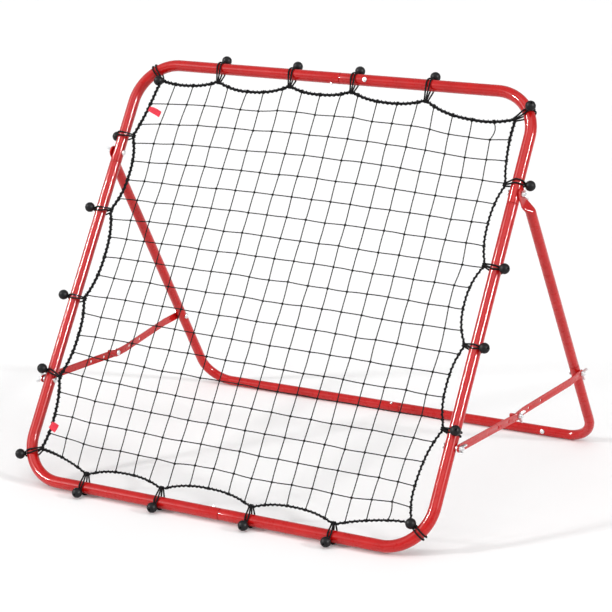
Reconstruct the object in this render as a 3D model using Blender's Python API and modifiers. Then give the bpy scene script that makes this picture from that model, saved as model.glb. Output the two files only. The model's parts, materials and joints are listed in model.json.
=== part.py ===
"""Folding pitch-back rebounder: a square net frame that leans on a hinged rear stand.

The front frame is four bent tubes that plug together, the rear stand two legs and two bent
feet, and each side has a two-piece perforated strut. Twenty ball ties hold a square net.
Metres, +Z up, ground at z = 0. The net faces -Y and the stand is behind it at +Y. The
origin is on the ground at the middle of the footprint.
"""
import math

import bmesh
import bpy
from mathutils import Matrix, Vector

# ---- driving dimensions -------------------------------------------------------------------
SPAN = 0.975             # front frame, tube axis to tube axis, both ways: 1.00 m outside
TUBE_R = 0.0125          # front frame tube, 25 mm
STAND_R = 0.011          # rear stand tube, 22 mm
WALL = 0.0012            # wall of both tubes
BEND_R = 0.095           # front frame corner, on the tube axis
STAND_BEND_R = 0.065     # rear stand corner, on the tube axis
SIDES = 12               # facets round a tube

LEAN = math.radians(33.2)        # net plane from vertical
PIVOT_T = 0.756                  # stand pivot, up the side tube from the bottom tube's axis
STRUT_T = 0.2185                 # strut's front bolt, up the side tube
FRONT_Y = -0.3818                # front bottom tube's axis, from the footprint's middle
DEPTH = 0.790                    # rear crossbar's axis behind the front bottom tube's axis
STRUT_FRACTION = 0.708           # strut's rear bolt, as a fraction of the leg from the pivot
MID_FRACTION = 0.494             # mid bolt, as a fraction of the line between the strut's ends
MID_DROP = 0.0152                # mid bolt below that line

SEAM = 0.020                     # seam of the top, bottom and rear tubes, right of the middle
SIDE_SEAM_T = 0.733              # seam of the side tubes
PLUG = 0.055                     # how far a plug runs into its sleeve
SEAM_GAP = 0.0012                # open line between sleeve and shoulder
SHOULDER = 0.0008                # length over which a plug narrows
GAP = 0.0003                     # clearance between neighbouring pieces

TONGUE_T = 0.0030                # flattened top of a leg
TONGUE_HALF = 0.0135             # half its height, square to the leg
STRUT_W = 0.017
STRUT_THICK = 0.0025
STRUT_EYE = 0.0085               # bar left beyond an end bolt
STANDOFF = 0.0046                # collar that holds a front bar clear of the tie cords
MID_TAIL_REAR = 0.036            # stop finger of a rear bar, past the mid bolt
TAIL_RISE, TAIL_HALF = 0.0140, 0.0050    # its rise from the bar's line, half width at its end
MID_TAIL_FRONT = 0.010           # front bar past the mid bolt
HOLE_PITCH = 0.050               # adjusting holes from the mid bolt
SET_START, SET_END = 0.030, 0.060    # flat ends of a rear bar, from its mid and rear bolts
HOLE_R = 0.0033
BOLT_R = 0.003
HEAD_R, HEAD_H = 0.0062, 0.0040
HUB_R, HUB_H = 0.0055, 0.0065    # wing nut's hub
WING_REACH, WING_RISE = 0.0135, 0.0115
PIN_R = 0.0027                   # snap button in a seam
PIN_OUT = 0.0035                 # how far it stands out of the tube
PIN_FLANGE = 0.0040              # its flange inside the plug
LEAF_T, LEAF_W = 0.0008, 0.0070  # its spring strip

TIE_CLEAR = 0.0006
TIE_T = 0.0032                   # elastic cord's thickness
TIE_W = 0.0065                   # its two strands, side by side
BALL_R = 0.0110
ROPE_R = 0.0030
ROPE_IN = 0.026                  # border rope's pull points, inside the tube axis
NET_FRONT = 0.008                # net plane in front of the tubes' plane
NET_T = 0.0020
NET_IN = 0.0105                  # net panel's edge inside the rope
SCALLOP = 0.016                  # depth of the rope's sag between ties
SIDE_SLACK, CORNER_SLACK = 0.0030, 0.0085   # loop's extra length where the rope turns in it
BALL_SEAT = TUBE_R + TIE_CLEAR + TIE_T + BALL_R - 0.0012    # ball's centre from the tube's axis

# ties: place along the side (x on the top and bottom, t up the sides) and the ball's angle
# round the tube in degrees, 0 straight out of the frame and 90 towards the front
TIES_TOP = ((-0.280, -24), (-0.100, -24), (0.055, -24), (0.237, -24))
TIES_BOTTOM = ((-0.322, 50), (-0.131, 50), (0.091, 50), (0.2835, 50))
TIES_LEFT = ((0.2355, 58), (0.4085, 35), (0.616, 35), (0.797, -24))
TIES_RIGHT = ((0.2475, 62), (0.424, 26), (0.592, 26), (0.7785, -20))
# corner ties: side, end, angle round the bend from the horizontal, rope's distance in, ball's
# angle and its distance from the tube's axis
TIES_CORNER = (
    ("top_left", -1, 1, 54, 0.0440, 150, 0.0355),
    ("top_right", 1, 1, 33, 0.0329, 60, BALL_SEAT),
    ("bottom_right", 1, -1, 36, 0.0440, 186, BALL_SEAT),
    ("bottom_left", -1, -1, 26.5, 0.0326, 35, BALL_SEAT),
)

AXIS_Z = TUBE_R + TIE_CLEAR + TIE_T      # front bottom tube rides on its tie cords
FOOT_Z = STAND_R * math.cos(math.pi / SIDES)   # rear crossbar rests on a facet

UP = Vector((0.0, math.sin(LEAN), math.cos(LEAN)))
FRONT = Vector((0.0, -math.cos(LEAN), math.sin(LEAN)))
SIDE = Vector((1.0, 0.0, 0.0))
BASE = Vector((0.0, FRONT_Y, AXIS_Z))
HALF = SPAN / 2

PIVOT = BASE + UP * PIVOT_T
STRUT_FRONT = BASE + UP * STRUT_T
FOOT = Vector((0.0, FRONT_Y + DEPTH, FOOT_Z))
LEG_DIR = (FOOT - PIVOT).normalized()
LEG_LENGTH = (FOOT - PIVOT).length
STRUT_REAR = PIVOT + (FOOT - PIVOT) * STRUT_FRACTION
_chord = (STRUT_REAR - STRUT_FRONT).normalized()
STRUT_MID = (STRUT_FRONT.lerp(STRUT_REAR, MID_FRACTION)
             + SIDE.cross(_chord).normalized() * -MID_DROP)
TONGUE_X = HALF + TUBE_R + GAP           # tongue's inboard face
LEG_X = TONGUE_X + STAND_R               # leg tube's axis
REAR_BAR_X = LEG_X + STAND_R + GAP       # rear bar's inboard face at the leg
FRONT_BAR_X = TONGUE_X + STANDOFF        # front bar's inboard face
REAR_MID_X = FRONT_BAR_X - STRUT_THICK - GAP   # rear bar's inboard face at the mid bolt


# ---- scene, collections and materials -----------------------------------------------------
for old in list(bpy.data.objects):
    bpy.data.objects.remove(old, do_unlink=True)
parts = bpy.data.collections.new("pitch_back_rebounder")
cutters = bpy.data.collections.new("cutters")
for collection in (parts, cutters):
    bpy.context.scene.collection.children.link(collection)


def make_material(name, color, roughness, metallic=0.0):
    """Principled material of one colour."""
    material = bpy.data.materials.new(name)
    material.use_nodes = True
    shader = material.node_tree.nodes["Principled BSDF"]
    shader.inputs["Base Color"].default_value = (*color, 1.0)
    shader.inputs["Roughness"].default_value = roughness
    shader.inputs["Metallic"].default_value = metallic
    return material


RED = make_material("red_powder_coat", (0.62, 0.015, 0.015), 0.28)
ZINC = make_material("zinc_plate", (0.78, 0.79, 0.80), 0.30, 1.0)
CORD = make_material("black_elastic", (0.012, 0.012, 0.013), 0.75)
TWINE = make_material("black_twine", (0.015, 0.015, 0.016), 0.80)
TAG = make_material("red_tag", (0.75, 0.02, 0.05), 0.85)


# ---- shape helpers ------------------------------------------------------------------------
def add_object(name, mesh, material=None, matrix=None, collection=parts, smooth=True):
    """Link a mesh as an object, with an optional world matrix."""
    obj = bpy.data.objects.new(name, mesh)
    collection.objects.link(obj)
    if material is not None and not mesh.materials:
        mesh.materials.append(material)
    if matrix is not None:
        obj.matrix_world = matrix
    if smooth:
        mesh.shade_smooth()
        mesh.set_sharp_from_angle(angle=math.radians(40))
    return obj


def bake(obj):
    """Turn an object with a curve or modifiers into a plain welded mesh, and drop the object."""
    bpy.context.view_layer.update()
    graph = bpy.context.evaluated_depsgraph_get()
    mesh = bpy.data.meshes.new_from_object(obj.evaluated_get(graph))
    mesh.transform(obj.matrix_world)
    work = bmesh.new()
    work.from_mesh(mesh)
    bmesh.ops.remove_doubles(work, verts=work.verts, dist=1e-6)
    bmesh.ops.recalc_face_normals(work, faces=work.faces)
    work.to_mesh(mesh)
    work.free()
    bpy.data.objects.remove(obj, do_unlink=True)
    return mesh


def poly_curve(name, points, radius, resolution, scales=None, closed=False, caps=True, tilt=0.0):
    """Round bevelled polyline; scales are radius factors along it."""
    curve = bpy.data.curves.new(name, "CURVE")
    curve.dimensions = "3D"
    curve.bevel_depth = radius
    curve.bevel_resolution = resolution
    curve.use_fill_caps = caps
    spline = curve.splines.new("POLY")
    spline.points.add(len(points) - 1)
    spline.use_cyclic_u = closed
    for i, point in enumerate(points):
        spline.points[i].co = (*point, 1.0)
        spline.points[i].radius = scales[i] if scales else 1.0
        spline.points[i].tilt = tilt
    obj = bpy.data.objects.new(name, curve)
    parts.objects.link(obj)
    return obj


def hollow_tube(name, points, radius, scales, tilt=0.0):
    """Open-ended tube with a wall, along a polyline."""
    path = poly_curve(name, points, radius, SIDES // 2 - 2, scales, caps=False, tilt=tilt)
    mesh = bake(path)
    obj = add_object(name, mesh, RED)
    wall = obj.modifiers.new("wall", "SOLIDIFY")
    wall.thickness = WALL
    wall.offset = -1.0
    wall.use_even_offset = True
    return obj


def cut(obj, cutter):
    """Subtract a cutter, which stays in the scene as a wire guide."""
    cutter.hide_render = True
    cutter.display_type = "WIRE"
    boolean = obj.modifiers.new("cut", "BOOLEAN")
    boolean.operation = "DIFFERENCE"
    boolean.object = cutter


def cylinder_between(name, start, end, radius, segments=10):
    """Cylinder object between two points, kept with the cutters."""
    mesh = bpy.data.meshes.new(name)
    work = bmesh.new()
    bmesh.ops.create_cone(work, cap_ends=True, segments=segments, radius1=radius,
                          radius2=radius, depth=(end - start).length)
    work.to_mesh(mesh)
    work.free()
    turn = (end - start).to_track_quat("Z", "Y").to_matrix().to_4x4()
    return add_object(name, mesh, None, Matrix.Translation((start + end) / 2) @ turn, cutters)


def drill(obj, tag, point, direction, radius, reach=0.03, back=None):
    """Drill a round hole from a point, as far back as ahead unless back says otherwise."""
    behind = reach if back is None else back
    cut(obj, cylinder_between(f"{obj.name}_{tag}_drill", point - direction * behind,
                              point + direction * reach, radius))


def bend(centre, start, end, radius, steps=6):
    """Arc of points about a centre, turning from direction start to direction end."""
    return [centre + (start * math.cos(a) + end * math.sin(a)) * radius
            for a in (math.pi / 2 * i / steps for i in range(steps + 1))]


def loft(name, rings, material):
    """Closed mesh through rings of equal point counts, with flat ends."""
    mesh = bpy.data.meshes.new(name)
    work = bmesh.new()
    rows = [[work.verts.new(point) for point in ring] for ring in rings]
    count = len(rows[0])
    for low, high in zip(rows, rows[1:]):
        for i in range(count):
            j = (i + 1) % count
            work.faces.new((low[i], low[j], high[j], high[i]))
    work.faces.new(rows[0])
    work.faces.new(rows[-1])
    bmesh.ops.recalc_face_normals(work, faces=work.faces)
    work.to_mesh(mesh)
    work.free()
    return add_object(name, mesh, material)


def turned(name, profile, matrix, material, segments=10):
    """Solid of revolution from (radius, height) pairs about local Z, by a Screw modifier."""
    mesh = bpy.data.meshes.new(name)
    work = bmesh.new()
    verts = [work.verts.new((radius, 0.0, height)) for radius, height in profile]
    for a, b in zip(verts, verts[1:]):
        work.edges.new((a, b))
    work.to_mesh(mesh)
    work.free()
    obj = add_object(name, mesh, material, matrix, smooth=False)
    screw = obj.modifiers.new("turn", "SCREW")
    screw.steps = screw.render_steps = segments
    screw.use_merge_vertices = True
    screw.merge_threshold = 0.00001
    screw.use_smooth_shade = True
    return obj


def outward(origin, direction):
    """Matrix whose local Z points along a direction."""
    return Matrix.Translation(origin) @ direction.to_track_quat("Z", "Y").to_matrix().to_4x4()


def bolt(name, seat, direction, length):
    """Round-head bolt: its head sits behind the seat, its shank runs along the direction."""
    profile = [(0.0, length), (BOLT_R, length), (BOLT_R, 0.0), (HEAD_R, 0.0),
               (HEAD_R, -HEAD_H * 0.45), (HEAD_R * 0.62, -HEAD_H), (0.0, -HEAD_H)]
    return turned(name, profile, outward(seat, direction), ZINC)


def wing_mesh(bored):
    """Wing nut about local Z, wings along local X; an unbored one has a stub and a collar."""
    wing = bpy.data.curves.new("wing", "CURVE")
    wing.dimensions = "2D"
    wing.fill_mode = "BOTH"
    wing.extrude = 0.0011
    outline = [(-0.0035, 0.0008), (0.0035, 0.0008), (WING_REACH * 0.80, 0.0045),
               (WING_REACH, 0.0085), (WING_REACH * 0.93, WING_RISE),
               (WING_REACH * 0.70, WING_RISE * 0.96), (0.0050, 0.0060),
               (-0.0050, 0.0060), (-WING_REACH * 0.70, WING_RISE * 0.96),
               (-WING_REACH * 0.93, WING_RISE), (-WING_REACH, 0.0085),
               (-WING_REACH * 0.80, 0.0045)]
    spline = wing.splines.new("POLY")
    spline.points.add(len(outline) - 1)
    for point, (x, y) in zip(spline.points, outline):
        point.co = (x, y, 0.0, 1.0)
    spline.use_cyclic_u = True
    flat = bpy.data.objects.new("wing", wing)
    parts.objects.link(flat)
    flat.matrix_world = Matrix.Rotation(math.pi / 2, 4, "X")
    wings = add_object("wings", bake(flat), ZINC, collection=cutters)
    profile = [(0.0, HUB_H), (HUB_R * 0.82, HUB_H), (HUB_R, 0.0012), (HUB_R, 0.0), (0.0, 0.0)]
    if not bored:
        tip, far = HUB_H + 0.0030, -STRUT_THICK - 2 * GAP
        profile = [(0.0, tip), (BOLT_R, tip), (BOLT_R, HUB_H), (HUB_R * 0.82, HUB_H),
                   (HUB_R, 0.0012), (HUB_R, 0.0), (BOLT_R, 0.0), (BOLT_R, far),
                   (HUB_R, far), (HUB_R, far - STANDOFF + GAP), (0.0, far - STANDOFF + GAP)]
    hub = turned("hub", profile, Matrix.Identity(4), ZINC)
    join = hub.modifiers.new("join", "BOOLEAN")
    join.operation = "UNION"
    join.object = wings
    if bored:
        cut(hub, cylinder_between("hub_bore", Vector((0, 0, -0.002)),
                                  Vector((0, 0, HUB_H + 0.002)), BOLT_R + GAP))
    mesh = bake(hub)
    for extra in [wings] + [o for o in cutters.objects if o.name.startswith("hub_bore")]:
        bpy.data.objects.remove(extra, do_unlink=True)
    mesh.materials.clear()
    mesh.materials.append(ZINC)
    return mesh


def wing_nut(name, mesh, seat, direction, wings_along):
    """Place a wing nut on its seat, wings along the given direction."""
    across = direction.cross(wings_along).normalized()
    along = across.cross(direction).normalized()
    matrix = Matrix.Translation(seat) @ Matrix((along, across, direction)).transposed().to_4x4()
    obj = bpy.data.objects.new(name, mesh)
    parts.objects.link(obj)
    obj.matrix_world = matrix
    return obj


# ---- front frame: four bent tubes ---------------------------------------------------------
def plug_run(start, direction, shoulder, radius):
    """Points and radius factors from a full tube through its shoulder to the plug's end."""
    neck = (radius - WALL) * math.cos(math.pi / SIDES) - GAP
    factor = neck / radius
    return ([start, start + direction * shoulder,
             start + direction * (shoulder + SHOULDER),
             start + direction * (shoulder + PLUG)], [1.0, 1.0, factor, factor])


def front_tube(side, end):
    """One L-shaped quarter of the front frame; upper tubes are sleeves on the side joints."""
    corner = Vector((side * HALF, 0, 0))
    along = -SIDE * side                       # towards the middle of the top or bottom
    rise = UP * (SPAN if end > 0 else 0.0)
    centre = BASE + rise + corner + along * BEND_R - UP * end * BEND_R
    arc = bend(centre, SIDE * side, UP * end, BEND_R)
    # side end: the upper tube's mouth, or the lower tube's plug
    seam = BASE + corner + UP * SIDE_SEAM_T
    if end > 0:
        side_points, side_scales = [seam + UP * 0.07, seam], [1.0, 1.0]
    else:
        side_points, side_scales = plug_run(seam - UP * 0.04, UP, 0.04 - SEAM_GAP, TUBE_R)
    # inner end: the left tube's mouth, or the right tube's plug
    middle = BASE + rise + SIDE * SEAM
    if side < 0:
        mid_points, mid_scales = [middle - SIDE * 0.07, middle], [1.0, 1.0]
    else:
        mid_points, mid_scales = plug_run(middle + SIDE * 0.04, -SIDE, 0.04 - SEAM_GAP, TUBE_R)
    points = list(reversed(side_points)) + arc + mid_points
    scales = list(reversed(side_scales)) + [1.0] * len(arc) + mid_scales
    level, hand = ("upper" if end > 0 else "lower"), ("left" if side < 0 else "right")
    return hollow_tube(f"front_tube_{level}_{hand}", points, TUBE_R, scales)


front = {(side, end): front_tube(side, end) for side in (-1, 1) for end in (-1, 1)}
for (side, end), tube in front.items():
    hand = SIDE * side * HALF
    drill(tube, "pivot", PIVOT + hand, SIDE, HOLE_R)
    if end < 0:
        drill(tube, "strut", STRUT_FRONT + hand, SIDE, HOLE_R)
    drill(tube, "seam", BASE + UP * (SPAN if end > 0 else 0.0), -UP * end, HOLE_R, back=0.0)

# ---- rear stand: two legs and two bent feet ------------------------------------------------
LEG_NORMAL = SIDE.cross(LEG_DIR).normalized()
LEG_SEAM = (STRUT_REAR - PIVOT).length - 0.024      # leg-to-foot seam, from the pivot
# turn of the foot tube's facets that lays one flat on the ground
FOOT_TILT = math.acos(-LEG_DIR.z) - 3 * math.pi / SIDES


def leg_ring(side, distance, half_height, half_depth, centre_x, flat):
    """Section of a leg: an ellipse whose flanks are pressed flat by the factor flat."""
    ring = []
    for i in range(SIDES):
        angle = 2 * math.pi * (i + 0.5) / SIDES
        depth = max(-1.0, min(1.0, math.sin(angle) * flat)) * half_depth
        ring.append(PIVOT + LEG_DIR * distance + LEG_NORMAL * (half_height * math.cos(angle))
                    + SIDE * side * (centre_x + depth))
    return ring


def leg(side):
    """Leg tube with a flattened round-ended tongue, bored from its lower, plugged end."""
    tongue_x = TONGUE_X + TONGUE_T / 2
    neck = (STAND_R - WALL) * math.cos(math.pi / SIDES) - GAP
    rings = [leg_ring(side, d, h, TONGUE_T / 2, tongue_x, 2.0) for d, h in
             ((-0.0130, 0.0042), (-0.0112, 0.0080), (-0.0070, 0.0119),
              (0.0, TONGUE_HALF), (0.028, TONGUE_HALF))]
    rings += [leg_ring(side, 0.037, 0.0126, 0.0065, TONGUE_X + 0.0066, 1.3),
              leg_ring(side, 0.046, STAND_R, STAND_R, LEG_X, 1.0)]
    outer = ((LEG_SEAM - SEAM_GAP, STAND_R), (LEG_SEAM - SEAM_GAP + SHOULDER, neck),
             (LEG_SEAM + PLUG, neck))
    inner = ((LEG_SEAM + PLUG, neck - WALL), (LEG_SEAM, neck - WALL),
             (LEG_SEAM - 0.004, STAND_R - WALL), (0.056, STAND_R - WALL))
    rings += [leg_ring(side, d, r, r, LEG_X, 1.0) for d, r in outer + inner]
    hand = "left" if side < 0 else "right"
    return loft(f"rear_leg_{hand}", rings, RED)


def foot(side):
    """L-shaped foot: the lower end of a leg, bent into half of the rear crossbar."""
    top = PIVOT + LEG_DIR * LEG_SEAM + SIDE * side * LEG_X
    corner = FOOT + SIDE * side * LEG_X
    centre = corner - LEG_DIR * STAND_BEND_R - SIDE * side * STAND_BEND_R
    arc = bend(centre, SIDE * side, LEG_DIR, STAND_BEND_R)
    middle = FOOT + SIDE * SEAM
    if side < 0:
        end_points, end_scales = [middle - SIDE * 0.07, middle], [1.0, 1.0]
    else:
        end_points, end_scales = plug_run(middle + SIDE * 0.04, -SIDE, 0.04 - SEAM_GAP, STAND_R)
    points = [top, top + LEG_DIR * 0.07] + arc + end_points
    hand = "left" if side < 0 else "right"
    return hollow_tube(f"rear_foot_{hand}", points, STAND_R,
                       [1.0] * (len(arc) + 2) + end_scales, tilt=side * FOOT_TILT)


for side in (-1, 1):
    upper, lower = leg(side), foot(side)
    drill(upper, "pivot", PIVOT + SIDE * side * LEG_X, SIDE, HOLE_R)
    for tube in (upper, lower):
        drill(tube, "strut", STRUT_REAR + SIDE * side * LEG_X, SIDE, HOLE_R)
    drill(lower, "seam", FOOT, -LEG_DIR, HOLE_R, back=0.0)


# ---- struts: two perforated flat bars a side ------------------------------------------------
def strut(name, side, start, end, before, after, offsets, holes, finger=False):
    """Flat bar between two bolts, with round ends, set over along x by (distance, x) pairs.

    A finger is a slimmer tail before the first bolt, which rises from the bar's line.
    """
    along = (end - start).normalized()
    normal = SIDE.cross(along).normalized()
    length = (end - start).length
    half = STRUT_W / 2

    def reach(distance):
        """Half width of the round-ended bar at a distance from its first bolt."""
        over = max(-before + half - distance, distance - (length + after - half), 0.0)
        slim = 1.0
        if finger and distance < 0.0:
            slim = 1.0 + (TAIL_HALF / half - 1.0) * -distance / before
        return math.sqrt(max(half * half - over * over, 0.0)) * slim

    def lift(distance):
        """Rise of the bar's middle from its line at a distance from its first bolt."""
        return TAIL_RISE * max(-distance - half, 0.0) / (before - half) if finger else 0.0

    def inboard(distance):
        """Inboard face's x at a distance from the first bolt."""
        for (d0, x0), (d1, x1) in zip(offsets, offsets[1:]):
            if distance <= d1:
                return x0 + (x1 - x0) * max(0.0, (distance - d0) / (d1 - d0))
        return offsets[-1][1]

    ends = (0.0008, 0.0035, half)
    stations = sorted({-before + e for e in ends} | {length + after - e for e in ends}
                      | {d for d, _ in offsets if 0 < d < length} | ({-half} if finger else set()))
    rings = []
    for distance in stations:
        middle = start + along * distance + normal * lift(distance)
        x, w = inboard(distance), reach(distance)
        rings.append([middle + normal * h + SIDE * side * depth for h, depth in
                      ((w, x), (-w, x), (-w, x + STRUT_THICK), (w, x + STRUT_THICK))])
    bar = loft(name, rings, RED)
    for i, distance in enumerate(holes):
        point = start + along * distance + SIDE * side * inboard(distance)
        drill(bar, f"hole{i}", point, SIDE, HOLE_R, 0.006)
    return bar


FRONT_LEN = (STRUT_MID - STRUT_FRONT).length
REAR_LEN = (STRUT_REAR - STRUT_MID).length
for side, hand in ((-1, "left"), (1, "right")):
    strut(f"strut_front_{hand}", side, STRUT_FRONT, STRUT_MID, STRUT_EYE, MID_TAIL_FRONT,
          ((0.0, FRONT_BAR_X), (FRONT_LEN, FRONT_BAR_X)),
          (0.0, FRONT_LEN - 2 * HOLE_PITCH, FRONT_LEN - HOLE_PITCH, FRONT_LEN))
    strut(f"strut_rear_{hand}", side, STRUT_MID, STRUT_REAR, MID_TAIL_REAR, STRUT_EYE,
          ((0.0, REAR_MID_X), (SET_START, REAR_MID_X), (REAR_LEN - SET_END, REAR_BAR_X),
           (REAR_LEN, REAR_BAR_X)),
          (0.0, HOLE_PITCH, 2 * HOLE_PITCH, REAR_LEN), finger=True)

# ---- bolts, wing nuts, snap buttons and screws ----------------------------------------------
bored_wing, stub_wing = wing_mesh(True), wing_mesh(False)
stub_wing.name = "wing_with_stub"
for side, hand in ((-1, "left"), (1, "right")):
    out = SIDE * side
    wings = UP.cross(SIDE).normalized() * 0.5 + UP
    tip = HUB_H + 0.0030
    head_x = HALF - TUBE_R - GAP
    # stand pivot: through the side tube's sleeve and plug, then the leg's tongue
    seat = TONGUE_X + TONGUE_T + GAP
    bolt(f"pivot_bolt_{hand}", PIVOT + out * head_x, out, seat + tip - head_x)
    wing_nut(f"pivot_wing_nut_{hand}", bored_wing, PIVOT + out * seat, out, -LEG_DIR)
    # strut's front bolt: a stub flush with the tube, and a wing nut with its own stub and collar
    bolt(f"strut_front_bolt_{hand}", STRUT_FRONT + out * head_x, out, 2 * TUBE_R + GAP)
    wing_nut(f"strut_front_wing_{hand}", stub_wing,
             STRUT_FRONT + out * (FRONT_BAR_X + STRUT_THICK + GAP), out, wings)
    # mid bolt: rear bar inside, front bar outside
    seat = FRONT_BAR_X + STRUT_THICK + GAP
    bolt(f"strut_mid_bolt_{hand}", STRUT_MID + out * (REAR_MID_X - GAP), out,
         seat + tip - REAR_MID_X + GAP)
    wing_nut(f"strut_mid_wing_nut_{hand}", bored_wing, STRUT_MID + out * seat, out, UP)
    # strut's rear bolt: through the foot, the leg's plug and the rear bar
    seat = REAR_BAR_X + STRUT_THICK + GAP
    head_x = LEG_X - STAND_R - GAP
    bolt(f"strut_rear_bolt_{hand}", STRUT_REAR + out * head_x, out, seat + tip - head_x)
    wing_nut(f"strut_rear_wing_nut_{hand}", bored_wing, STRUT_REAR + out * seat, out, UP)


def strip(name, outline, place, collection):
    """Spring strip: an outline in the plane of the tube's axis and its button's."""
    curve = bpy.data.curves.new(name, "CURVE")
    curve.dimensions = "2D"
    curve.fill_mode = "BOTH"
    curve.extrude = LEAF_W / 2
    spline = curve.splines.new("POLY")
    spline.points.add(len(outline) - 1)
    for point, (x, y) in zip(spline.points, outline):
        point.co = (x, y, 0.0, 1.0)
    spline.use_cyclic_u = True
    flat = bpy.data.objects.new(name, curve)
    parts.objects.link(flat)
    flat.matrix_world = place
    return add_object(name, bake(flat), ZINC, collection=collection, smooth=False)


def snap_button(name, centre, inward, radius):
    """Spring button in a seam's plug: a pin on a leaf, and the leaf spring's fixed half."""
    bore = (radius - WALL) * math.cos(math.pi / SIDES) - GAP - WALL
    shelf = math.sqrt(bore * bore - PIN_FLANGE ** 2) * math.cos(math.pi / SIDES) - GAP
    top = radius + PIN_OUT
    profile = [(0.0, top), (PIN_R * 0.7, top), (PIN_R, top - 0.0010), (PIN_R, shelf),
               (PIN_FLANGE, shelf), (PIN_FLANGE, shelf - 0.0012), (0.0, shelf - 0.0012)]
    button = turned(f"snap_button_{name}", profile, outward(centre, inward), ZINC)
    place = Matrix.Translation(centre) @ Matrix(
        (SIDE, inward, SIDE.cross(inward))).transposed().to_4x4()
    high = shelf - 0.0008
    arm = strip(f"snap_arm_{name}", [(-0.0055, high - LEAF_T), (0.018, high - LEAF_T),
                                     (0.018, high), (-0.0055, high)], place, cutters)
    arm.hide_render = True
    arm.display_type = "WIRE"
    join = button.modifiers.new("arm", "BOOLEAN")
    join.operation = "UNION"
    join.object = arm
    low = -shelf + 0.0004
    strip(f"snap_spring_{name}", [(-0.0055, low - LEAF_T), (0.0215, low - LEAF_T),
                                  (0.0262, low + 0.0040), (0.0262, -0.0006), (0.0254, -0.0006),
                                  (0.0254, low + 0.0044), (0.0211, low), (-0.0055, low)],
          place, parts)


for name, centre, inward, radius in (("top", BASE + UP * SPAN, -UP, TUBE_R),
                                     ("bottom", BASE, UP, TUBE_R),
                                     ("rear", FOOT, -LEG_DIR, STAND_R)):
    snap_button(name, centre, inward, radius)

for name, centre, radius in (("top", BASE + UP * SPAN + SIDE * 0.084, TUBE_R),
                             ("rear", FOOT + SIDE * 0.389, STAND_R)):
    face = (FRONT - UP * 0.25).normalized() if name == "top" else Vector((0, -1, 0.10)).normalized()
    turned(f"{name}_screw", [(0.0, 0.0022), (0.0030, 0.0022), (0.0052, 0.0008), (0.0052, 0.0),
                             (0.0, 0.0)], outward(centre + face * (radius + GAP), face), ZINC)


# ---- ball ties -----------------------------------------------------------------------------
def flat_circle(centre, radius, turn, count=12):
    """Polygon that stands round a circle, with one facet square to the angle turn."""
    corner = radius / math.cos(math.pi / count)
    return [(centre[0] + corner * math.cos(turn + 2 * math.pi * (i + 0.5) / count),
             centre[1] + corner * math.sin(turn + 2 * math.pi * (i + 0.5) / count))
            for i in range(count)]


def hull(points):
    """Convex hull of 2D points, counter-clockwise."""
    points = sorted(points)
    chains = []
    for run in (points, points[::-1]):
        chain = []
        for p in run:
            while len(chain) > 1 and ((chain[-1][0] - chain[-2][0]) * (p[1] - chain[-2][1])
                                      - (chain[-1][1] - chain[-2][1]) * (p[0] - chain[-2][0])) <= 0:
                chain.pop()
            chain.append(p)
        chains.append(chain[:-1])
    return chains[0] + chains[1]


def ball_tie(name, centre, outward_dir, ball_angle, rope_in, slack, ball_seat=BALL_SEAT):
    """Elastic loop round a frame tube and the border rope, with its ball against the tube."""
    rope = (-rope_in - slack / 2, NET_FRONT)
    down = math.atan2(Vector((0, 0, -1)).dot(FRONT), Vector((0, 0, -1)).dot(outward_dir))
    loops = [hull(flat_circle((0, 0), TUBE_R + TIE_CLEAR + extra, down)
                  + flat_circle(rope, ROPE_R + TIE_CLEAR + slack / 2 + extra, 0.0, 6))
             for extra in (TIE_T, 0.0)]
    curve = bpy.data.curves.new(name, "CURVE")
    curve.dimensions = "2D"
    curve.fill_mode = "BOTH"
    curve.extrude = TIE_W / 2
    for outline in loops:
        spline = curve.splines.new("POLY")
        spline.points.add(len(outline) - 1)
        for point, (x, y) in zip(spline.points, outline):
            point.co = (x, y, 0.0, 1.0)
        spline.use_cyclic_u = True
    flat = bpy.data.objects.new(name, curve)
    parts.objects.link(flat)
    place = Matrix.Translation(centre) @ Matrix(
        (outward_dir, FRONT, outward_dir.cross(FRONT))).transposed().to_4x4()
    flat.matrix_world = place
    tie = add_object(name, bake(flat), CORD)
    angle = math.radians(ball_angle)
    ball_at = (outward_dir * math.cos(angle) + FRONT * math.sin(angle)) * ball_seat
    ball_mesh = bpy.data.meshes.new(name + "_ball")
    work = bmesh.new()
    bmesh.ops.create_uvsphere(work, u_segments=8, v_segments=6, radius=BALL_R)
    work.to_mesh(ball_mesh)
    work.free()
    ball = add_object(name + "_ball", ball_mesh, CORD, Matrix.Translation(centre + ball_at), cutters)
    ball.hide_render = True
    ball.display_type = "WIRE"
    join = tie.modifiers.new("ball", "BOOLEAN")
    join.operation = "UNION"
    join.object = ball
    return tie


pulls = []                                   # rope's pull points, anticlockwise from the front
for i, (x, angle) in enumerate(TIES_BOTTOM):
    ball_tie(f"tie_bottom_{i + 1}", BASE + SIDE * x, -UP, angle, ROPE_IN, SIDE_SLACK)
    pulls.append((x, ROPE_IN, SIDE_SLACK))
for i, (t, angle) in enumerate(TIES_RIGHT):
    ball_tie(f"tie_right_{i + 1}", BASE + SIDE * HALF + UP * t, SIDE, angle, ROPE_IN, SIDE_SLACK)
    pulls.append((HALF - ROPE_IN, t, SIDE_SLACK))
for i, (x, angle) in enumerate(TIES_TOP):
    ball_tie(f"tie_top_{i + 1}", BASE + SIDE * x + UP * SPAN, UP, angle, ROPE_IN, SIDE_SLACK)
    pulls.append((x, SPAN - ROPE_IN, SIDE_SLACK))
for i, (t, angle) in enumerate(TIES_LEFT):
    ball_tie(f"tie_left_{i + 1}", BASE - SIDE * HALF + UP * t, -SIDE, angle, ROPE_IN, SIDE_SLACK)
    pulls.append((-HALF + ROPE_IN, t, SIDE_SLACK))
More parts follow.
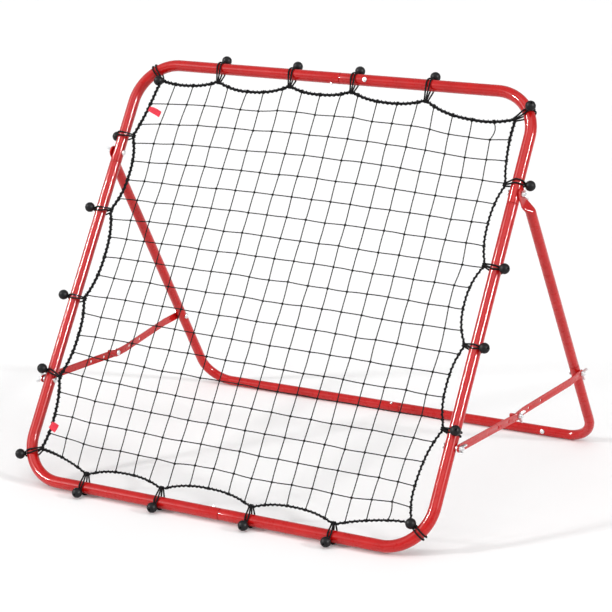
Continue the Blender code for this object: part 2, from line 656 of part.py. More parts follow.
for name, side, end, turn, rope_in, ball_angle, ball_seat in TIES_CORNER:
    centre = (side * (HALF - BEND_R), BEND_R if end < 0 else SPAN - BEND_R)
    swing = math.radians(turn)
    way = (side * math.cos(swing), end * math.sin(swing))
    at = BASE + SIDE * (centre[0] + way[0] * BEND_R) + UP * (centre[1] + way[1] * BEND_R)
    ball_tie(f"tie_corner_{name}", at, SIDE * way[0] + UP * way[1], ball_angle, rope_in,
             CORNER_SLACK, ball_seat)
    pulls.append((centre[0] + way[0] * (BEND_R - rope_in),
                  centre[1] + way[1] * (BEND_R - rope_in), CORNER_SLACK))
pulls.sort(key=lambda p: math.atan2(p[1] - SPAN / 2, p[0]))


# ---- border rope, net and its tags -----------------------------------------------------------
def scallops(inset, steps):
    """Outline through the pull points, sagging inwards between them."""
    outline = []
    middle = Vector((0.0, SPAN / 2))
    for here, there in zip(pulls, pulls[1:] + pulls[:1]):
        a, b = Vector(here[:2]), Vector(there[:2])
        chord = b - a
        inward = Vector((-chord.y, chord.x)).normalized()
        for i in range(steps):
            s = i / steps
            depth = SCALLOP * 4 * s * (1 - s) + inset
            point = a.lerp(b, s) + inward * depth
            if i == 0 and inset:
                point = a + (middle - a).normalized() * (inset + here[2])
            outline.append(point)
    return outline


rope_points = [BASE + SIDE * p.x + UP * p.y + FRONT * NET_FRONT for p in scallops(0.0, 4)]
rope = poly_curve("border_rope", rope_points, ROPE_R, 1, closed=True)
add_object("border_rope", bake(rope), TWINE)

net_curve = bpy.data.curves.new("net", "CURVE")
net_curve.dimensions = "2D"
net_curve.fill_mode = "BOTH"
net_curve.extrude = NET_T / 2
net_outline = scallops(NET_IN, 4)
net_spline = net_curve.splines.new("POLY")
net_spline.points.add(len(net_outline) - 1)
for point, p in zip(net_spline.points, net_outline):
    point.co = (p.x, p.y, 0.0, 1.0)
net_spline.use_cyclic_u = True
net = bpy.data.objects.new("net", net_curve)
parts.objects.link(net)
net.matrix_world = Matrix.Translation(BASE + FRONT * NET_FRONT) @ Matrix(
    (SIDE, UP, FRONT)).transposed().to_4x4()
add_object("net", bake(net), TWINE)

for name, x, t, turn in (("tag_upper", -0.414, 0.856, -24), ("tag_lower", -0.428, 0.113, -22)):
    mesh = bpy.data.meshes.new(name)
    work = bmesh.new()
    bmesh.ops.create_cube(work, size=1.0)
    bmesh.ops.scale(work, vec=(0.032, 0.025, 0.0008), verts=work.verts)
    work.to_mesh(mesh)
    work.free()
    frame = Matrix((SIDE, UP, FRONT)).transposed().to_4x4()
    place = BASE + SIDE * x + UP * t + FRONT * (NET_FRONT + NET_T / 2 + 0.0030)
    add_object(name, mesh, TAG,
               Matrix.Translation(place) @ frame @ Matrix.Rotation(math.radians(turn), 4, "Z"),
               smooth=False)


# ---- turning pieces: parented to empties on their joints' axes ---------------------------------
def hinge(name, point, pieces, parent=None):
    """Empty on a joint's axis that carries the pieces that turn about it."""
    empty = bpy.data.objects.new(name, None)
    empty.empty_display_size = 0.03
    parts.objects.link(empty)
    empty.location = point if parent is None else point - parent.matrix_world.translation
    empty.parent = parent
    bpy.context.view_layer.update()
    for piece in pieces:
        obj = parts.objects[piece]
        obj.parent = empty
        obj.matrix_parent_inverse = empty.matrix_world.inverted()
    return empty


stand_hinge = hinge("stand_hinge", PIVOT, [
    f"{piece}_{hand}" for hand in ("left", "right")
    for piece in ("rear_leg", "rear_foot", "strut_rear_bolt", "strut_rear_wing_nut")
] + ["snap_button_rear", "snap_spring_rear", "rear_screw"])
for side, hand in ((-1, "left"), (1, "right")):
    rear_hinge = hinge(f"strut_rear_hinge_{hand}", STRUT_REAR + SIDE * side * REAR_BAR_X, [
        f"strut_rear_{hand}", f"strut_mid_bolt_{hand}", f"strut_mid_wing_nut_{hand}"
    ], stand_hinge)
    hinge(f"strut_mid_hinge_{hand}", STRUT_MID + SIDE * side * REAR_MID_X, [
        f"strut_front_{hand}", f"strut_front_wing_{hand}"], rear_hinge)
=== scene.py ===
"""Pitch-back rebounder: the visible model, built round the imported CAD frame.

Every piece but the snap buttons' leaf springs, which are the frame's own, is rebuilt here with
finer shape and procedural materials: seamed tubes with walls, perforated bars, hardware, elastic
ball ties, a laid border rope and a knotted net of twisted twine. Metres, +Z up, ground at z = 0,
the net faces -Y.
"""

import json
import math
import random

import bmesh
import bpy
import numpy as np
from mathutils import Matrix, Vector


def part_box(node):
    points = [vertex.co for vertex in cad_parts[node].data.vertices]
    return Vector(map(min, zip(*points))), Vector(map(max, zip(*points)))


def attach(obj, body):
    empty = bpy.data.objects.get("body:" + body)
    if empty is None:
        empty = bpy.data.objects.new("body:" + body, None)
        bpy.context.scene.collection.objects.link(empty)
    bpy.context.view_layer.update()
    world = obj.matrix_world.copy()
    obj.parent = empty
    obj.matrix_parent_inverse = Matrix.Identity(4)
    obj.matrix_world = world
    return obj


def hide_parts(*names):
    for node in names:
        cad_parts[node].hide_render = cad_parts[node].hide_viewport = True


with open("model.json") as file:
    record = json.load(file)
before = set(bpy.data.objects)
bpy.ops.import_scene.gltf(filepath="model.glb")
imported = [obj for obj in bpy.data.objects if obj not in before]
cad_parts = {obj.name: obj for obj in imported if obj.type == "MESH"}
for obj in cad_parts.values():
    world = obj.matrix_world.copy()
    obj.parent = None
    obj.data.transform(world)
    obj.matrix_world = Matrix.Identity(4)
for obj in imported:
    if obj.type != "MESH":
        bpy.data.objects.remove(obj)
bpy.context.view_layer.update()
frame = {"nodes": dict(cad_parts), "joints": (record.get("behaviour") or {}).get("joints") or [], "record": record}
rng = random.Random(11)

# ---- driving dimensions ----------------------------------------------------------
# The CAD part's, but for the rope's pulls and sags and for three balls, which stand elsewhere
# here: tie_top_1's by 3 mm, tie_corner_top_left's by 5 mm, tie_corner_bottom_right's by 18 mm.
SPAN = 0.975             # front frame, tube axis to tube axis
TUBE_R = 0.0125
STAND_R = 0.011
WALL = 0.0012
BEND_R = 0.095
STAND_BEND_R = 0.065
SEAM = 0.020             # seam of the top, bottom and rear tubes, right of the middle
SIDE_SEAM_T = 0.733      # seam of the side tubes
PLUG = 0.055
SEAM_GAP = 0.0012
SHOULDER = 0.0008
PLAY = 0.0005            # between a plug and its sleeve
PLUG_RUN = 0.04          # straight tube before a plug's seam
MOUTH_RUN = 0.06         # straight tube behind a sleeve's mouth
LEG_SEAM_RISE = 0.024    # leg's seam above the rear strut bolt
PRESS_START, PRESS_RUN = 0.022, 0.026    # where a leg's tongue opens into the round tube
DRILL_REACH = 0.03       # half the depth of a cut through a tube
GAP = 0.0003
TONGUE_T = 0.0030
TONGUE_HALF = 0.0135
STRUT_W = 0.017
STRUT_THICK = 0.0025
STRUT_EYE = 0.0085
STANDOFF = 0.0046
MID_TAIL_REAR = 0.036    # stop finger of a rear bar, past the mid bolt
TAIL_RISE, TAIL_HALF = 0.0140, 0.0050
SET_START, SET_END = 0.030, 0.060
MID_TAIL_FRONT = 0.010
HOLE_PITCH = 0.050
HOLE_R = 0.0033
BOLT_R = 0.003
HEAD_R, HEAD_H = 0.0062, 0.0040
HUB_R, HUB_H = 0.0055, 0.0065
BOLT_TIP = 0.0030        # thread beyond a wing nut
PIN_R = 0.0027
PIN_OUT = 0.0035

CORD_R = 0.00180         # elastic cord
CORD_SPREAD = 0.0040     # half the distance between a tie's strands, at the tube
CORD_CLOSE = 0.0020      # the same at the rope and under the ball
BALL_R = 0.0110
BALL_OUT = 0.0261        # ball's centre from the tube's axis
BALL_BORE = 0.0024
NET_FRONT = 0.008        # net plane in front of the tubes' plane
ROPE_R = 0.0030
ROPE_STEP = 0.0018       # rings along the rope
YARN_OUT, YARN_R = 0.00150, 0.00155      # rope's three laid strands: from its axis, radius
YARN_LAY = 0.013
LACING_OUT, LACING_LAY = 0.0034, 0.0105  # twine wound round the rope
LACING_STEP = 0.0013
STRINGS = 18             # each way
STRING_R = 0.0012
STRING_LAY = 0.011       # length of one turn of a string's twist
STRING_RIDGE = 0.16
RING_STEP = 0.0025       # rings along a string
END_JITTER, KNOT_JITTER, BOW_JITTER = 0.003, 0.0012, 0.0007
NET_PULL = 0.0090        # knots drawn towards the right side at half height

# ties: place along the side, ball's angle round the tube, and the rope's pull point: its
# place along the side and its distance in from the tube's axis
TIES_BOTTOM = ((-0.322, 50, -0.3196, 0.0268), (-0.131, 50, -0.1286, 0.0268),
               (0.091, 50, 0.0911, 0.0250), (0.2835, 50, 0.2846, 0.0225))
TIES_RIGHT = ((0.2475, 62, 0.2500, 0.0204), (0.424, 26, 0.4250, 0.0205),
              (0.592, 26, 0.5954, 0.0215), (0.7785, -20, 0.7693, 0.0214))
TIES_TOP = ((-0.283, -24, -0.2770, 0.0330), (-0.100, -24, -0.0946, 0.0296),
            (0.055, -24, 0.0589, 0.0307), (0.236, -24, 0.2386, 0.0368))
TIES_LEFT = ((0.2355, 58, 0.2268, 0.0261), (0.4085, 35, 0.4079, 0.0296),
             (0.616, 35, 0.6175, 0.0296), (0.797, -24, 0.7954, 0.0304))
# corner ties: side, end, angle round the bend, ball's angle and distance from the tube's axis,
# and the rope's pull point: x, t and its place in front of the tubes' plane
TIES_CORNER = {
    "top_left": (-1, 1, 54, 157, 0.0370, (-0.4286, 0.9364, 0.0)),
    "top_right": (1, 1, 33, 60, BALL_OUT, (0.4518, 0.9132, NET_FRONT)),
    "bottom_right": (1, -1, 36, 146, BALL_OUT, (0.4464, 0.0554, 0.0)),
    "bottom_left": (-1, -1, 26.5, 35, BALL_OUT, (-0.4518, 0.0636, NET_FRONT)),
}
# rope's sag between neighbouring pulls, anticlockwise from the bottom left corner tie
SAGS = (0.006, 0.018, 0.021, 0.018, 0.006,
        0.018, 0.018, 0.024, 0.017, 0.007,
        0.021, 0.016, 0.014, 0.020, 0.013,
        0.005, 0.021, 0.021, 0.016, 0.013)

CAMERA_AT = Vector((2.3113, -3.9075, 1.6432))
CAMERA_AZIMUTH, CAMERA_ELEVATION, CAMERA_ROLL = 30.497, 15.786, -1.225
CAMERA_FOV = 15.918

# ---- places taken from the frame -----------------------------------------------
joints = {joint["name"]: joint for joint in frame["joints"]}
mounts = {mount["name"]: mount for mount in frame["record"]["mounts"]}
SIDE = Vector((1.0, 0.0, 0.0))
UP = Vector(joints["press_bottom"]["axis"]).normalized()
FRONT = Vector((0.0, -UP.z, UP.y))
LEG_DIR = -Vector(joints["press_rear"]["axis"]).normalized()
LEG_NORMAL = SIDE.cross(LEG_DIR).normalized()
PIVOT = Vector(joints["stand_fold"]["pos_m"])


def on_plane(point):
    """The point with its x set to nought."""
    return Vector((0.0, point[1], point[2]))


def along_to(start, direction, y):
    """Where the line from start reaches a y."""
    return start + direction * ((y - start.y) / direction.y)


BASE = along_to(PIVOT, UP, mounts["front_tie_left_rest"]["pos_m"][1])
FOOT = along_to(PIVOT, LEG_DIR, mounts["rear_foot_left_rest"]["pos_m"][1])
STRUT_REAR = on_plane(joints["strut_heel_left"]["pos_m"])
STRUT_MID = on_plane(joints["strut_elbow_left"]["pos_m"])
bolt_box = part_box("strut_front_bolt_left")
STRUT_FRONT = on_plane((bolt_box[0] + bolt_box[1]) / 2)
HALF = SPAN / 2
TONGUE_X = HALF + TUBE_R + GAP
LEG_X = TONGUE_X + STAND_R
REAR_BAR_X = LEG_X + STAND_R + GAP
FRONT_BAR_X = TONGUE_X + STANDOFF
REAR_MID_X = FRONT_BAR_X - STRUT_THICK - GAP


def net_point(x, t, front=NET_FRONT):
    """World point from a place in the net's plane."""
    return BASE + SIDE * x + UP * t + FRONT * front


# ---- materials -----------------------------------------------------------------
class Look:
    """A Principled material and short calls that wire nodes into it."""

    def __init__(self, name, **values):
        self.material = bpy.data.materials.new(name)
        self.material.use_nodes = True
        self.tree = self.material.node_tree
        self.shader = self.tree.nodes["Principled BSDF"]
        for socket, value in values.items():
            self.shader.inputs[socket.replace("_", " ")].default_value = value
        self.place = self.tree.nodes.new("ShaderNodeTexCoord").outputs["Object"]

    def add(self, kind, inputs=(), **settings):
        """New node; inputs is (socket, value or output) pairs."""
        node = self.tree.nodes.new(kind)
        for key, value in settings.items():
            setattr(node, key, value)
        for socket, value in inputs:
            if isinstance(value, bpy.types.NodeSocket):
                self.tree.links.new(value, node.inputs[socket])
            else:
                node.inputs[socket].default_value = value
        return node

    def noise(self, scale, detail=3.0, roughness=0.5, vector=None):
        """Factor of a noise texture."""
        return self.add("ShaderNodeTexNoise", (
            ("Vector", vector or self.place), ("Scale", scale), ("Detail", detail),
            ("Roughness", roughness))).outputs[0]

    def math(self, operation, a, b=0.0):
        """Result of a math node."""
        return self.add("ShaderNodeMath", ((0, a), (1, b)), operation=operation).outputs[0]

    def ramp(self, factor, *stops):
        """Colour ramp from (position, colour) stops; a number stands for a grey."""
        node = self.add("ShaderNodeValToRGB", (("Fac", factor),))
        while len(node.color_ramp.elements) < len(stops):
            node.color_ramp.elements.new(0.5)
        for element, (position, color) in zip(node.color_ramp.elements, stops):
            element.position = position
            element.color = (*color, 1.0) if hasattr(color, "__len__") else (color,) * 3 + (1.0,)
        return node.outputs["Color"]

    def link(self, socket, output):
        """Wire an output into the shader."""
        self.tree.links.new(output, self.shader.inputs[socket])

    def bump(self, height, distance, strength=1.0, under=None):
        """Bump node, over another one's normal if given; returns its normal."""
        inputs = [("Height", height), ("Distance", distance), ("Strength", strength)]
        if under is not None:
            inputs.append(("Normal", under))
        return self.add("ShaderNodeBump", inputs).outputs["Normal"]

    def strand(self):
        """Angle round a swept strand, in turns, and the distance along it in metres."""
        attribute = self.add("ShaderNodeAttribute", attribute_name="strand")
        split = self.add("ShaderNodeSeparateXYZ", ((0, attribute.outputs["Vector"]),))
        angle = self.math("ARCTAN2", split.outputs["Y"], split.outputs["X"])
        return self.math("DIVIDE", angle, 2 * math.pi), split.outputs["Z"], attribute.outputs["Vector"]


def powder_coat():
    """Glossy red powder coat: orange peel, slight thickness and gloss variation."""
    look = Look("red_powder_coat_gloss", Roughness=0.28, Coat_Weight=0.55, Coat_Roughness=0.045,
                Specular_IOR_Level=0.15)
    look.link("Base Color", look.ramp(look.noise(26.0, 4.0), (0.30, (0.42, 0.003, 0.003)),
                                      (0.52, (0.46, 0.004, 0.004)), (0.75, (0.49, 0.006, 0.005))))
    look.link("Roughness", look.ramp(look.noise(60.0, 5.0), (0.25, 0.22), (0.75, 0.36)))
    peel = look.bump(look.noise(520.0, 2.0), 0.00012, 0.35)
    look.link("Normal", look.bump(look.noise(45.0, 2.0), 0.0004, 0.10, peel))
    return look.material


def zinc():
    """Bright zinc plate: fine tumbled grain and soft cloudy passivation."""
    look = Look("bright_zinc_plate", Metallic=1.0, Roughness=0.3, Specular_IOR_Level=0.5)
    look.link("Base Color", look.ramp(look.noise(320.0, 4.0), (0.3, (0.66, 0.67, 0.68)),
                                      (0.55, (0.80, 0.81, 0.82)), (0.8, (0.86, 0.85, 0.82))))
    look.link("Roughness", look.ramp(look.noise(700.0, 4.0), (0.25, 0.22), (0.75, 0.46)))
    look.link("Normal", look.bump(look.noise(2600.0, 3.0), 0.00008, 0.35))
    return look.material


def elastic_sheath():
    """Braided sheath of an elastic cord: crossing diagonal yarns, with painted shade darkening the grooves between
    them.
    """
    look = Look("black_elastic_sheath", Roughness=0.85, Specular_IOR_Level=0.15)
    turn, length, _ = look.strand()
    run = look.math("MULTIPLY", length, 1 / 0.0046)
    waves = []
    for way in ("ADD", "SUBTRACT"):
        phase = look.math(way, look.math("MULTIPLY", run, 4.0), look.math("MULTIPLY", turn, 4.0))
        waves.append(look.math("ABSOLUTE", look.math("SINE", look.math("MULTIPLY", phase, math.pi))))
    yarn = look.math("MAXIMUM", waves[0], waves[1])
    # painted shade: the colour follows the yarns' relief, darker in the grooves and lighter on the crowns
    look.link("Base Color", look.ramp(yarn, (0.2, (0.002, 0.002, 0.002)),
                                      (1.0, (0.008, 0.008, 0.009))))
    fuzz = look.bump(look.noise(2400.0, 3.0), 0.0001, 0.4)
    look.link("Normal", look.bump(yarn, 0.0003, 0.8, fuzz))
    return look.material


def ball_plastic():
    """Matte black moulded plastic."""
    look = Look("black_ball_plastic", Roughness=0.5, Specular_IOR_Level=0.22)
    look.link("Base Color", look.ramp(look.noise(140.0, 4.0), (0.3, (0.002, 0.002, 0.003)),
                                      (0.7, (0.006, 0.006, 0.007))))
    look.link("Roughness", look.ramp(look.noise(260.0, 4.0), (0.3, 0.36), (0.7, 0.56)))
    look.link("Normal", look.bump(look.noise(900.0, 3.0), 0.00012, 0.3))
    return look.material


def twine(name, dark, light):
    """Black twisted fibre twine: fibres run along the lay, with a few dusty ones."""
    look = Look(name, Roughness=0.85, Specular_IOR_Level=0.15)
    _, _, around = look.strand()
    stretched = look.add("ShaderNodeVectorMath", ((0, around), (1, (3.0, 3.0, 260.0))),
                         operation="MULTIPLY").outputs[0]
    fibre = look.noise(1.0, 4.0, 0.6, stretched)
    look.link("Base Color", look.ramp(fibre, (0.35, dark), (0.75, light)))
    look.link("Roughness", look.ramp(fibre, (0.3, 0.70), (0.8, 0.92)))
    fuzz = look.bump(look.noise(3000.0, 3.0), 0.0001, 0.4)
    look.link("Normal", look.bump(fibre, 0.0003, 0.6, fuzz))
    return look.material


def tag_cloth():
    """Plain-woven bright red cloth."""
    look = Look("red_woven_cloth", Roughness=0.85, Sheen_Weight=0.35, Sheen_Roughness=0.4)
    split = look.add("ShaderNodeSeparateXYZ", ((0, look.place),))
    across = look.math("SINE", look.math("MULTIPLY", split.outputs["X"], 2 * math.pi / 0.0009))
    down = look.math("SINE", look.math("MULTIPLY", split.outputs["Z"], 2 * math.pi / 0.0009))
    weave = look.math("ADD", look.math("MULTIPLY", across, down), look.noise(900.0, 3.0))
    look.link("Base Color", look.ramp(look.noise(300.0, 4.0), (0.3, (0.62, 0.006, 0.028)),
                                      (0.7, (0.82, 0.018, 0.050))))
    look.link("Roughness", look.ramp(look.noise(500.0, 3.0), (0.3, 0.78), (0.7, 0.94)))
    look.link("Normal", look.bump(weave, 0.0003, 0.5))
    return look.material


def floor_finish():
    """Pale studio floor, very slightly uneven."""
    look = Look("pale_floor", Roughness=0.6, Specular_IOR_Level=0.25)
    look.link("Base Color", look.ramp(look.noise(1.5, 4.0), (0.3, 0.905), (0.7, 0.925)))
    look.link("Roughness", look.ramp(look.noise(4.0, 3.0), (0.3, 0.55), (0.7, 0.68)))
    look.link("Normal", look.bump(look.noise(90.0, 3.0), 0.0005, 0.06))
    return look.material


RED = powder_coat()
ZINC = zinc()
SHEATH = elastic_sheath()
PLASTIC = ball_plastic()
TWINE = twine("black_net_twine", (0.003, 0.003, 0.003), (0.018, 0.018, 0.019))
ROPE = twine("black_border_rope", (0.002, 0.002, 0.003), (0.010, 0.010, 0.011))
CLOTH = tag_cloth()


# ---- shape builder -------------------------------------------------------------
def path_frames(points, closed=False):
    """Tangents and normals carried along a polyline without twisting."""
    points = np.asarray(points, float)
    if closed:
        tangents = np.roll(points, -1, 0) - np.roll(points, 1, 0)
    else:
        tangents = np.gradient(points, axis=0)
    tangents /= np.linalg.norm(tangents, axis=1, keepdims=True)
    seed = np.eye(3)[np.argmin(np.abs(tangents[0]))]
    normal = np.cross(tangents[0], seed)
    normals = np.empty_like(points)
    for i, tangent in enumerate(tangents):
        normal = normal - tangent * normal.dot(tangent)
        normal /= np.linalg.norm(normal)
        normals[i] = normal
    if closed:
        first, last = normals[0], normals[-1]
        slip = math.atan2(np.cross(last, first).dot(tangents[0]), last.dot(first))
        turn = (np.linspace(0.0, slip, len(points), endpoint=False))[:, None]
        normals = normals * np.cos(turn) + np.cross(tangents, normals) * np.sin(turn)
    return tangents, normals, np.cross(tangents, normals)


def lengths_along(points, closed=False):
    """Distance from the first point to each one, and the whole length."""
    points = np.asarray(points, float)
    ends = np.roll(points, -1, 0) if closed else points[1:]
    steps = np.linalg.norm(ends - (points if closed else points[:-1]), axis=1)
    run = np.concatenate([[0.0], np.cumsum(steps)])
    return run[:len(points)], run[-1]


class Shape:
    """Vertices and faces gathered from several closed forms into one piece."""

    def __init__(self):
        self.points, self.faces, self.strand, self.marks = [], [], [], []
        self.count, self.mark = 0, 0

    def put(self, points, faces, strand=None):
        """Add a form; its faces index its own points."""
        points = np.asarray(points, float)
        self.points.append(points)
        self.strand.append(np.zeros((len(points), 3)) if strand is None else strand)
        self.faces += [tuple(i + self.count for i in face) for face in faces]
        self.marks += [self.mark] * len(faces)
        self.count += len(points)

    def sweep(self, points, radius, sides=8, closed=False, ridge=0.0, pitch=0.0):
        """Round strand along a path; ridge and pitch give it a twisted, lobed section."""
        points = np.asarray(points, float)
        _, normals, binormals = path_frames(points, closed)
        run, total = lengths_along(points, closed)
        radii = np.broadcast_to(np.asarray(radius, float), (len(points),))
        angles = 2 * math.pi * np.arange(sides) / sides
        if pitch:
            turns = round(total / pitch) * 2 * math.pi / total if closed else 2 * math.pi / pitch
            spin = angles[None, :] + (run * turns)[:, None]
        else:
            spin = np.broadcast_to(angles, (len(points), sides))
        lobe = 1.0 + ridge * np.where(np.arange(sides) % 2 == 0, 1.0, -1.0)
        reach = radii[:, None] * lobe[None, :]
        rings = (points[:, None, :] + normals[:, None, :] * (reach * np.cos(spin))[..., None]
                 + binormals[:, None, :] * (reach * np.sin(spin))[..., None])
        strand = np.stack([np.broadcast_to(np.cos(angles), reach.shape),
                           np.broadcast_to(np.sin(angles), reach.shape),
                           np.broadcast_to(run[:, None], reach.shape)], axis=-1)
        rows = len(points) if closed else len(points) - 1
        faces = self.skin(rows, len(points), sides)
        if not closed:
            faces.append(tuple(range(sides))[::-1])
            faces.append(tuple(range((len(points) - 1) * sides, len(points) * sides)))
        self.put(rings.reshape(-1, 3), faces, strand.reshape(-1, 3))

    @staticmethod
    def skin(rows, rings, sides):
        """Quads between neighbouring rings of equal counts."""
        faces = []
        for r in range(rows):
            low, high = r * sides, ((r + 1) % rings) * sides
            for s in range(sides):
                e = (s + 1) % sides
                faces.append((low + s, low + e, high + e, high + s))
        return faces

    def rings(self, rings, looped=False):
        """Skin over given rings; looped joins the last to the first, else both ends are capped."""
        sides = len(rings[0])
        faces = self.skin(len(rings) if looped else len(rings) - 1, len(rings), sides)
        if not looped:
            faces.append(tuple(range(sides))[::-1])
            faces.append(tuple(range((len(rings) - 1) * sides, len(rings) * sides)))
        self.put(np.asarray([list(p) for ring in rings for p in ring]), faces)

    def lathe(self, profile, matrix, segments=28):
        """Form turned about local Z from (radius, height) pairs; looped if it never meets the axis."""
        on_axis = profile[0][0] == 0.0 and profile[-1][0] == 0.0
        body = profile[1:-1] if on_axis else profile
        points = [matrix @ Vector((r * math.cos(a), r * math.sin(a), z)) for r, z in body
                  for a in (2 * math.pi * i / segments for i in range(segments))]
        rings = len(body)
        faces = self.skin(rings - 1 if on_axis else rings, rings, segments)
        if on_axis:
            points += [matrix @ Vector((0.0, 0.0, profile[0][1])),
                       matrix @ Vector((0.0, 0.0, profile[-1][1]))]
            low, high, last = rings * segments, rings * segments + 1, (rings - 1) * segments
            for s in range(segments):
                e = (s + 1) % segments
                faces.append((low, e, s))
                faces.append((high, last + s, last + e))
        self.put(points, faces)

    def mesh(self, name, materials):
        """Blender mesh with outward normals, smooth shading and sharp creases."""
        mesh = bpy.data.meshes.new(name)
        mesh.from_pydata(np.concatenate(self.points).tolist(), [], self.faces)
        for material in materials:
            mesh.materials.append(material)
        mesh.polygons.foreach_set("material_index", self.marks)
        attribute = mesh.attributes.new("strand", "FLOAT_VECTOR", "POINT")
        attribute.data.foreach_set("vector", np.concatenate(self.strand).ravel())
        tidy_normals(mesh)
        return mesh


def tidy_normals(mesh, crease=38):
    """Outward faces, smooth with sharp creases."""
    bpy.context.view_layer.update()
    holder = bpy.data.objects.new("tidy", mesh)
    bpy.context.scene.collection.objects.link(holder)
    bpy.context.view_layer.objects.active = holder
    holder.select_set(True)
    bpy.ops.object.mode_set(mode="EDIT")
    bpy.ops.mesh.select_all(action="SELECT")
    bpy.ops.mesh.normals_make_consistent(inside=False)
    bpy.ops.object.mode_set(mode="OBJECT")
    bpy.data.objects.remove(holder, do_unlink=True)
    mesh.shade_smooth()
    mesh.set_sharp_from_angle(angle=math.radians(crease))


def place_piece(name, mesh, body, slot, *nodes):
    """Link a mesh as a piece that rides on a body and stands for CAD nodes."""
    obj = bpy.data.objects.new(name, mesh)
    bpy.context.scene.collection.objects.link(obj)
    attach(obj, body)
    if nodes:
        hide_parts(*nodes)
    return obj


def outward(origin, direction):
    """Matrix whose local Z points along a direction."""
    return Matrix.Translation(origin) @ direction.to_track_quat("Z", "Y").to_matrix().to_4x4()


def axes_at(origin, x, y, z):
    """Matrix from an origin and three axes."""
    return Matrix.Translation(origin) @ Matrix((x, y, z)).transposed().to_4x4()


def evaluated_mesh(obj):
    """New mesh of an object with its modifiers applied."""
    bpy.context.view_layer.update()
    graph = bpy.context.evaluated_depsgraph_get()
    return bpy.data.meshes.new_from_object(obj.evaluated_get(graph))


def single_material(mesh, material):
    """Give the whole mesh one material."""
    mesh.materials.clear()
    mesh.materials.append(material)


def boolean(obj, other, operation):
    """Apply an exact boolean and drop the other object."""
    step = obj.modifiers.new("boolean", "BOOLEAN")
    step.operation = operation
    step.object = other
    mesh = evaluated_mesh(obj)
    obj.modifiers.clear()
    obj.data = mesh
    bpy.data.objects.remove(other, do_unlink=True)


def loose(name, mesh):
    """Working object that isn't a piece."""
    obj = bpy.data.objects.new(name, mesh)
    bpy.context.scene.collection.objects.link(obj)
    return obj


def bore(obj, start, end, radius):
    """Cut a round hole from one point to another."""
    cutter = Shape()
    length = (end - start).length
    cutter.lathe([(0.0, 0.0), (radius, 0.0), (radius, length), (0.0, length)],
                 outward(start, (end - start).normalized()), 20)
    boolean(obj, loose("cutter", cutter.mesh("cutter", [])), "DIFFERENCE")


# ---- tubes ---------------------------------------------------------------------
TUBE_SIDES = 36


def tube_rings(stations, sides=TUBE_SIDES):
    """Rings of a walled tube from (point, outer radius, inner radius) stations."""
    points = [s[0] for s in stations]
    _, normals, binormals = path_frames([list(p) for p in points])
    outer, inner = [], []
    for (point, big, small), n, b in zip(stations, normals, binormals):
        for rings, radius in ((outer, big), (inner, small)):
            rings.append([point + (Vector(n) * math.cos(a) + Vector(b) * math.sin(a)) * radius
                          for a in (2 * math.pi * i / sides for i in range(sides))])
    return outer + inner[::-1]


def sleeve_mouth(end, back, radius):
    """Stations of an open mouth with broken edges: back is the direction into the tube."""
    inner = radius - WALL
    return [(end + back * MOUTH_RUN, radius, inner), (end + back * 0.0010, radius, inner),
            (end + back * 0.0002, radius - 0.00012, inner + 0.0001),
            (end, radius - 0.0004, inner + 0.0003)]


def plug_end(start, direction, shoulder, radius):
    """Stations over a shoulder and along the plug to its end."""
    neck = radius - WALL - PLAY
    inner = neck - WALL
    edge = start + direction * shoulder
    return [(start, radius, radius - WALL),
            (edge - direction * 0.0010, radius, radius - WALL),
            (edge - direction * 0.0002, radius - 0.0001, radius - WALL),
            (edge, radius - 0.0004, radius - WALL),
            (edge + direction * SHOULDER, neck, inner),
            (edge + direction * (SHOULDER + 0.001), neck, inner),
            (edge + direction * (PLUG - 0.002), neck, inner),
            (edge + direction * PLUG, neck - 0.0008, inner)]


def bend(centre, start, end, radius, tube, steps=26):
    """Stations round a bend, from direction start to direction end."""
    return [(centre + (start * math.cos(a) + end * math.sin(a)) * radius, tube, tube - WALL)
            for a in (math.pi / 2 * i / steps for i in range(steps + 1))]


def level_end(middle, side, radius):
    """Stations at the seam of a level tube: a sleeve on the left, a plug on the right."""
    if side < 0:
        return sleeve_mouth(middle, -SIDE, radius)
    return plug_end(middle + SIDE * PLUG_RUN, -SIDE, PLUG_RUN - SEAM_GAP, radius)


def hand_of(side):
    """Word for a side of the object."""
    return "left" if side < 0 else "right"


def through(at, direction):
    """A bolt hole's cut, right through a tube."""
    return at - direction * DRILL_REACH, at + direction * DRILL_REACH, HOLE_R


def front_tube(side, end):
    """One L-shaped quarter of the front frame."""
    corner = BASE + SIDE * side * HALF
    along = -SIDE * side
    rise = UP * (SPAN if end > 0 else 0.0)
    centre = corner + rise + along * BEND_R - UP * end * BEND_R
    seam = corner + UP * SIDE_SEAM_T
    if end > 0:
        upright = sleeve_mouth(seam, UP, TUBE_R)[::-1]
    else:
        upright = plug_end(seam - UP * PLUG_RUN, UP, PLUG_RUN - SEAM_GAP, TUBE_R)[::-1]
    level = level_end(BASE + rise + SIDE * SEAM, side, TUBE_R)
    shape = Shape()
    shape.rings(tube_rings(upright + bend(centre, SIDE * side, UP * end, BEND_R, TUBE_R) + level),
                looped=True)
    name = f"tube_{'upper' if end > 0 else 'lower'}_{hand_of(side)}"
    return place_piece(name, shape.mesh(name, [RED]), "front_frame", "red_powder_coat",
                       f"front_{name}")


def cut_and_tidy(obj, *holes):
    """Bore (start, end, radius) holes and set the shading again."""
    for start, end, radius in holes:
        bore(obj, start, end, radius)
    tidy_normals(obj.data, 30)


for side in (-1, 1):
    out = SIDE * side
    for end in (-1, 1):
        holes = [through(PIVOT + out * HALF, out)]
        if end < 0:
            holes.append(through(STRUT_FRONT + out * HALF, out))
        seam_at = BASE + UP * (SPAN if end > 0 else 0.0)
        holes.append((seam_at, seam_at - UP * end * DRILL_REACH, HOLE_R))
        cut_and_tidy(front_tube(side, end), *holes)


LEG_SEAM = (STRUT_REAR - PIVOT).length - LEG_SEAM_RISE


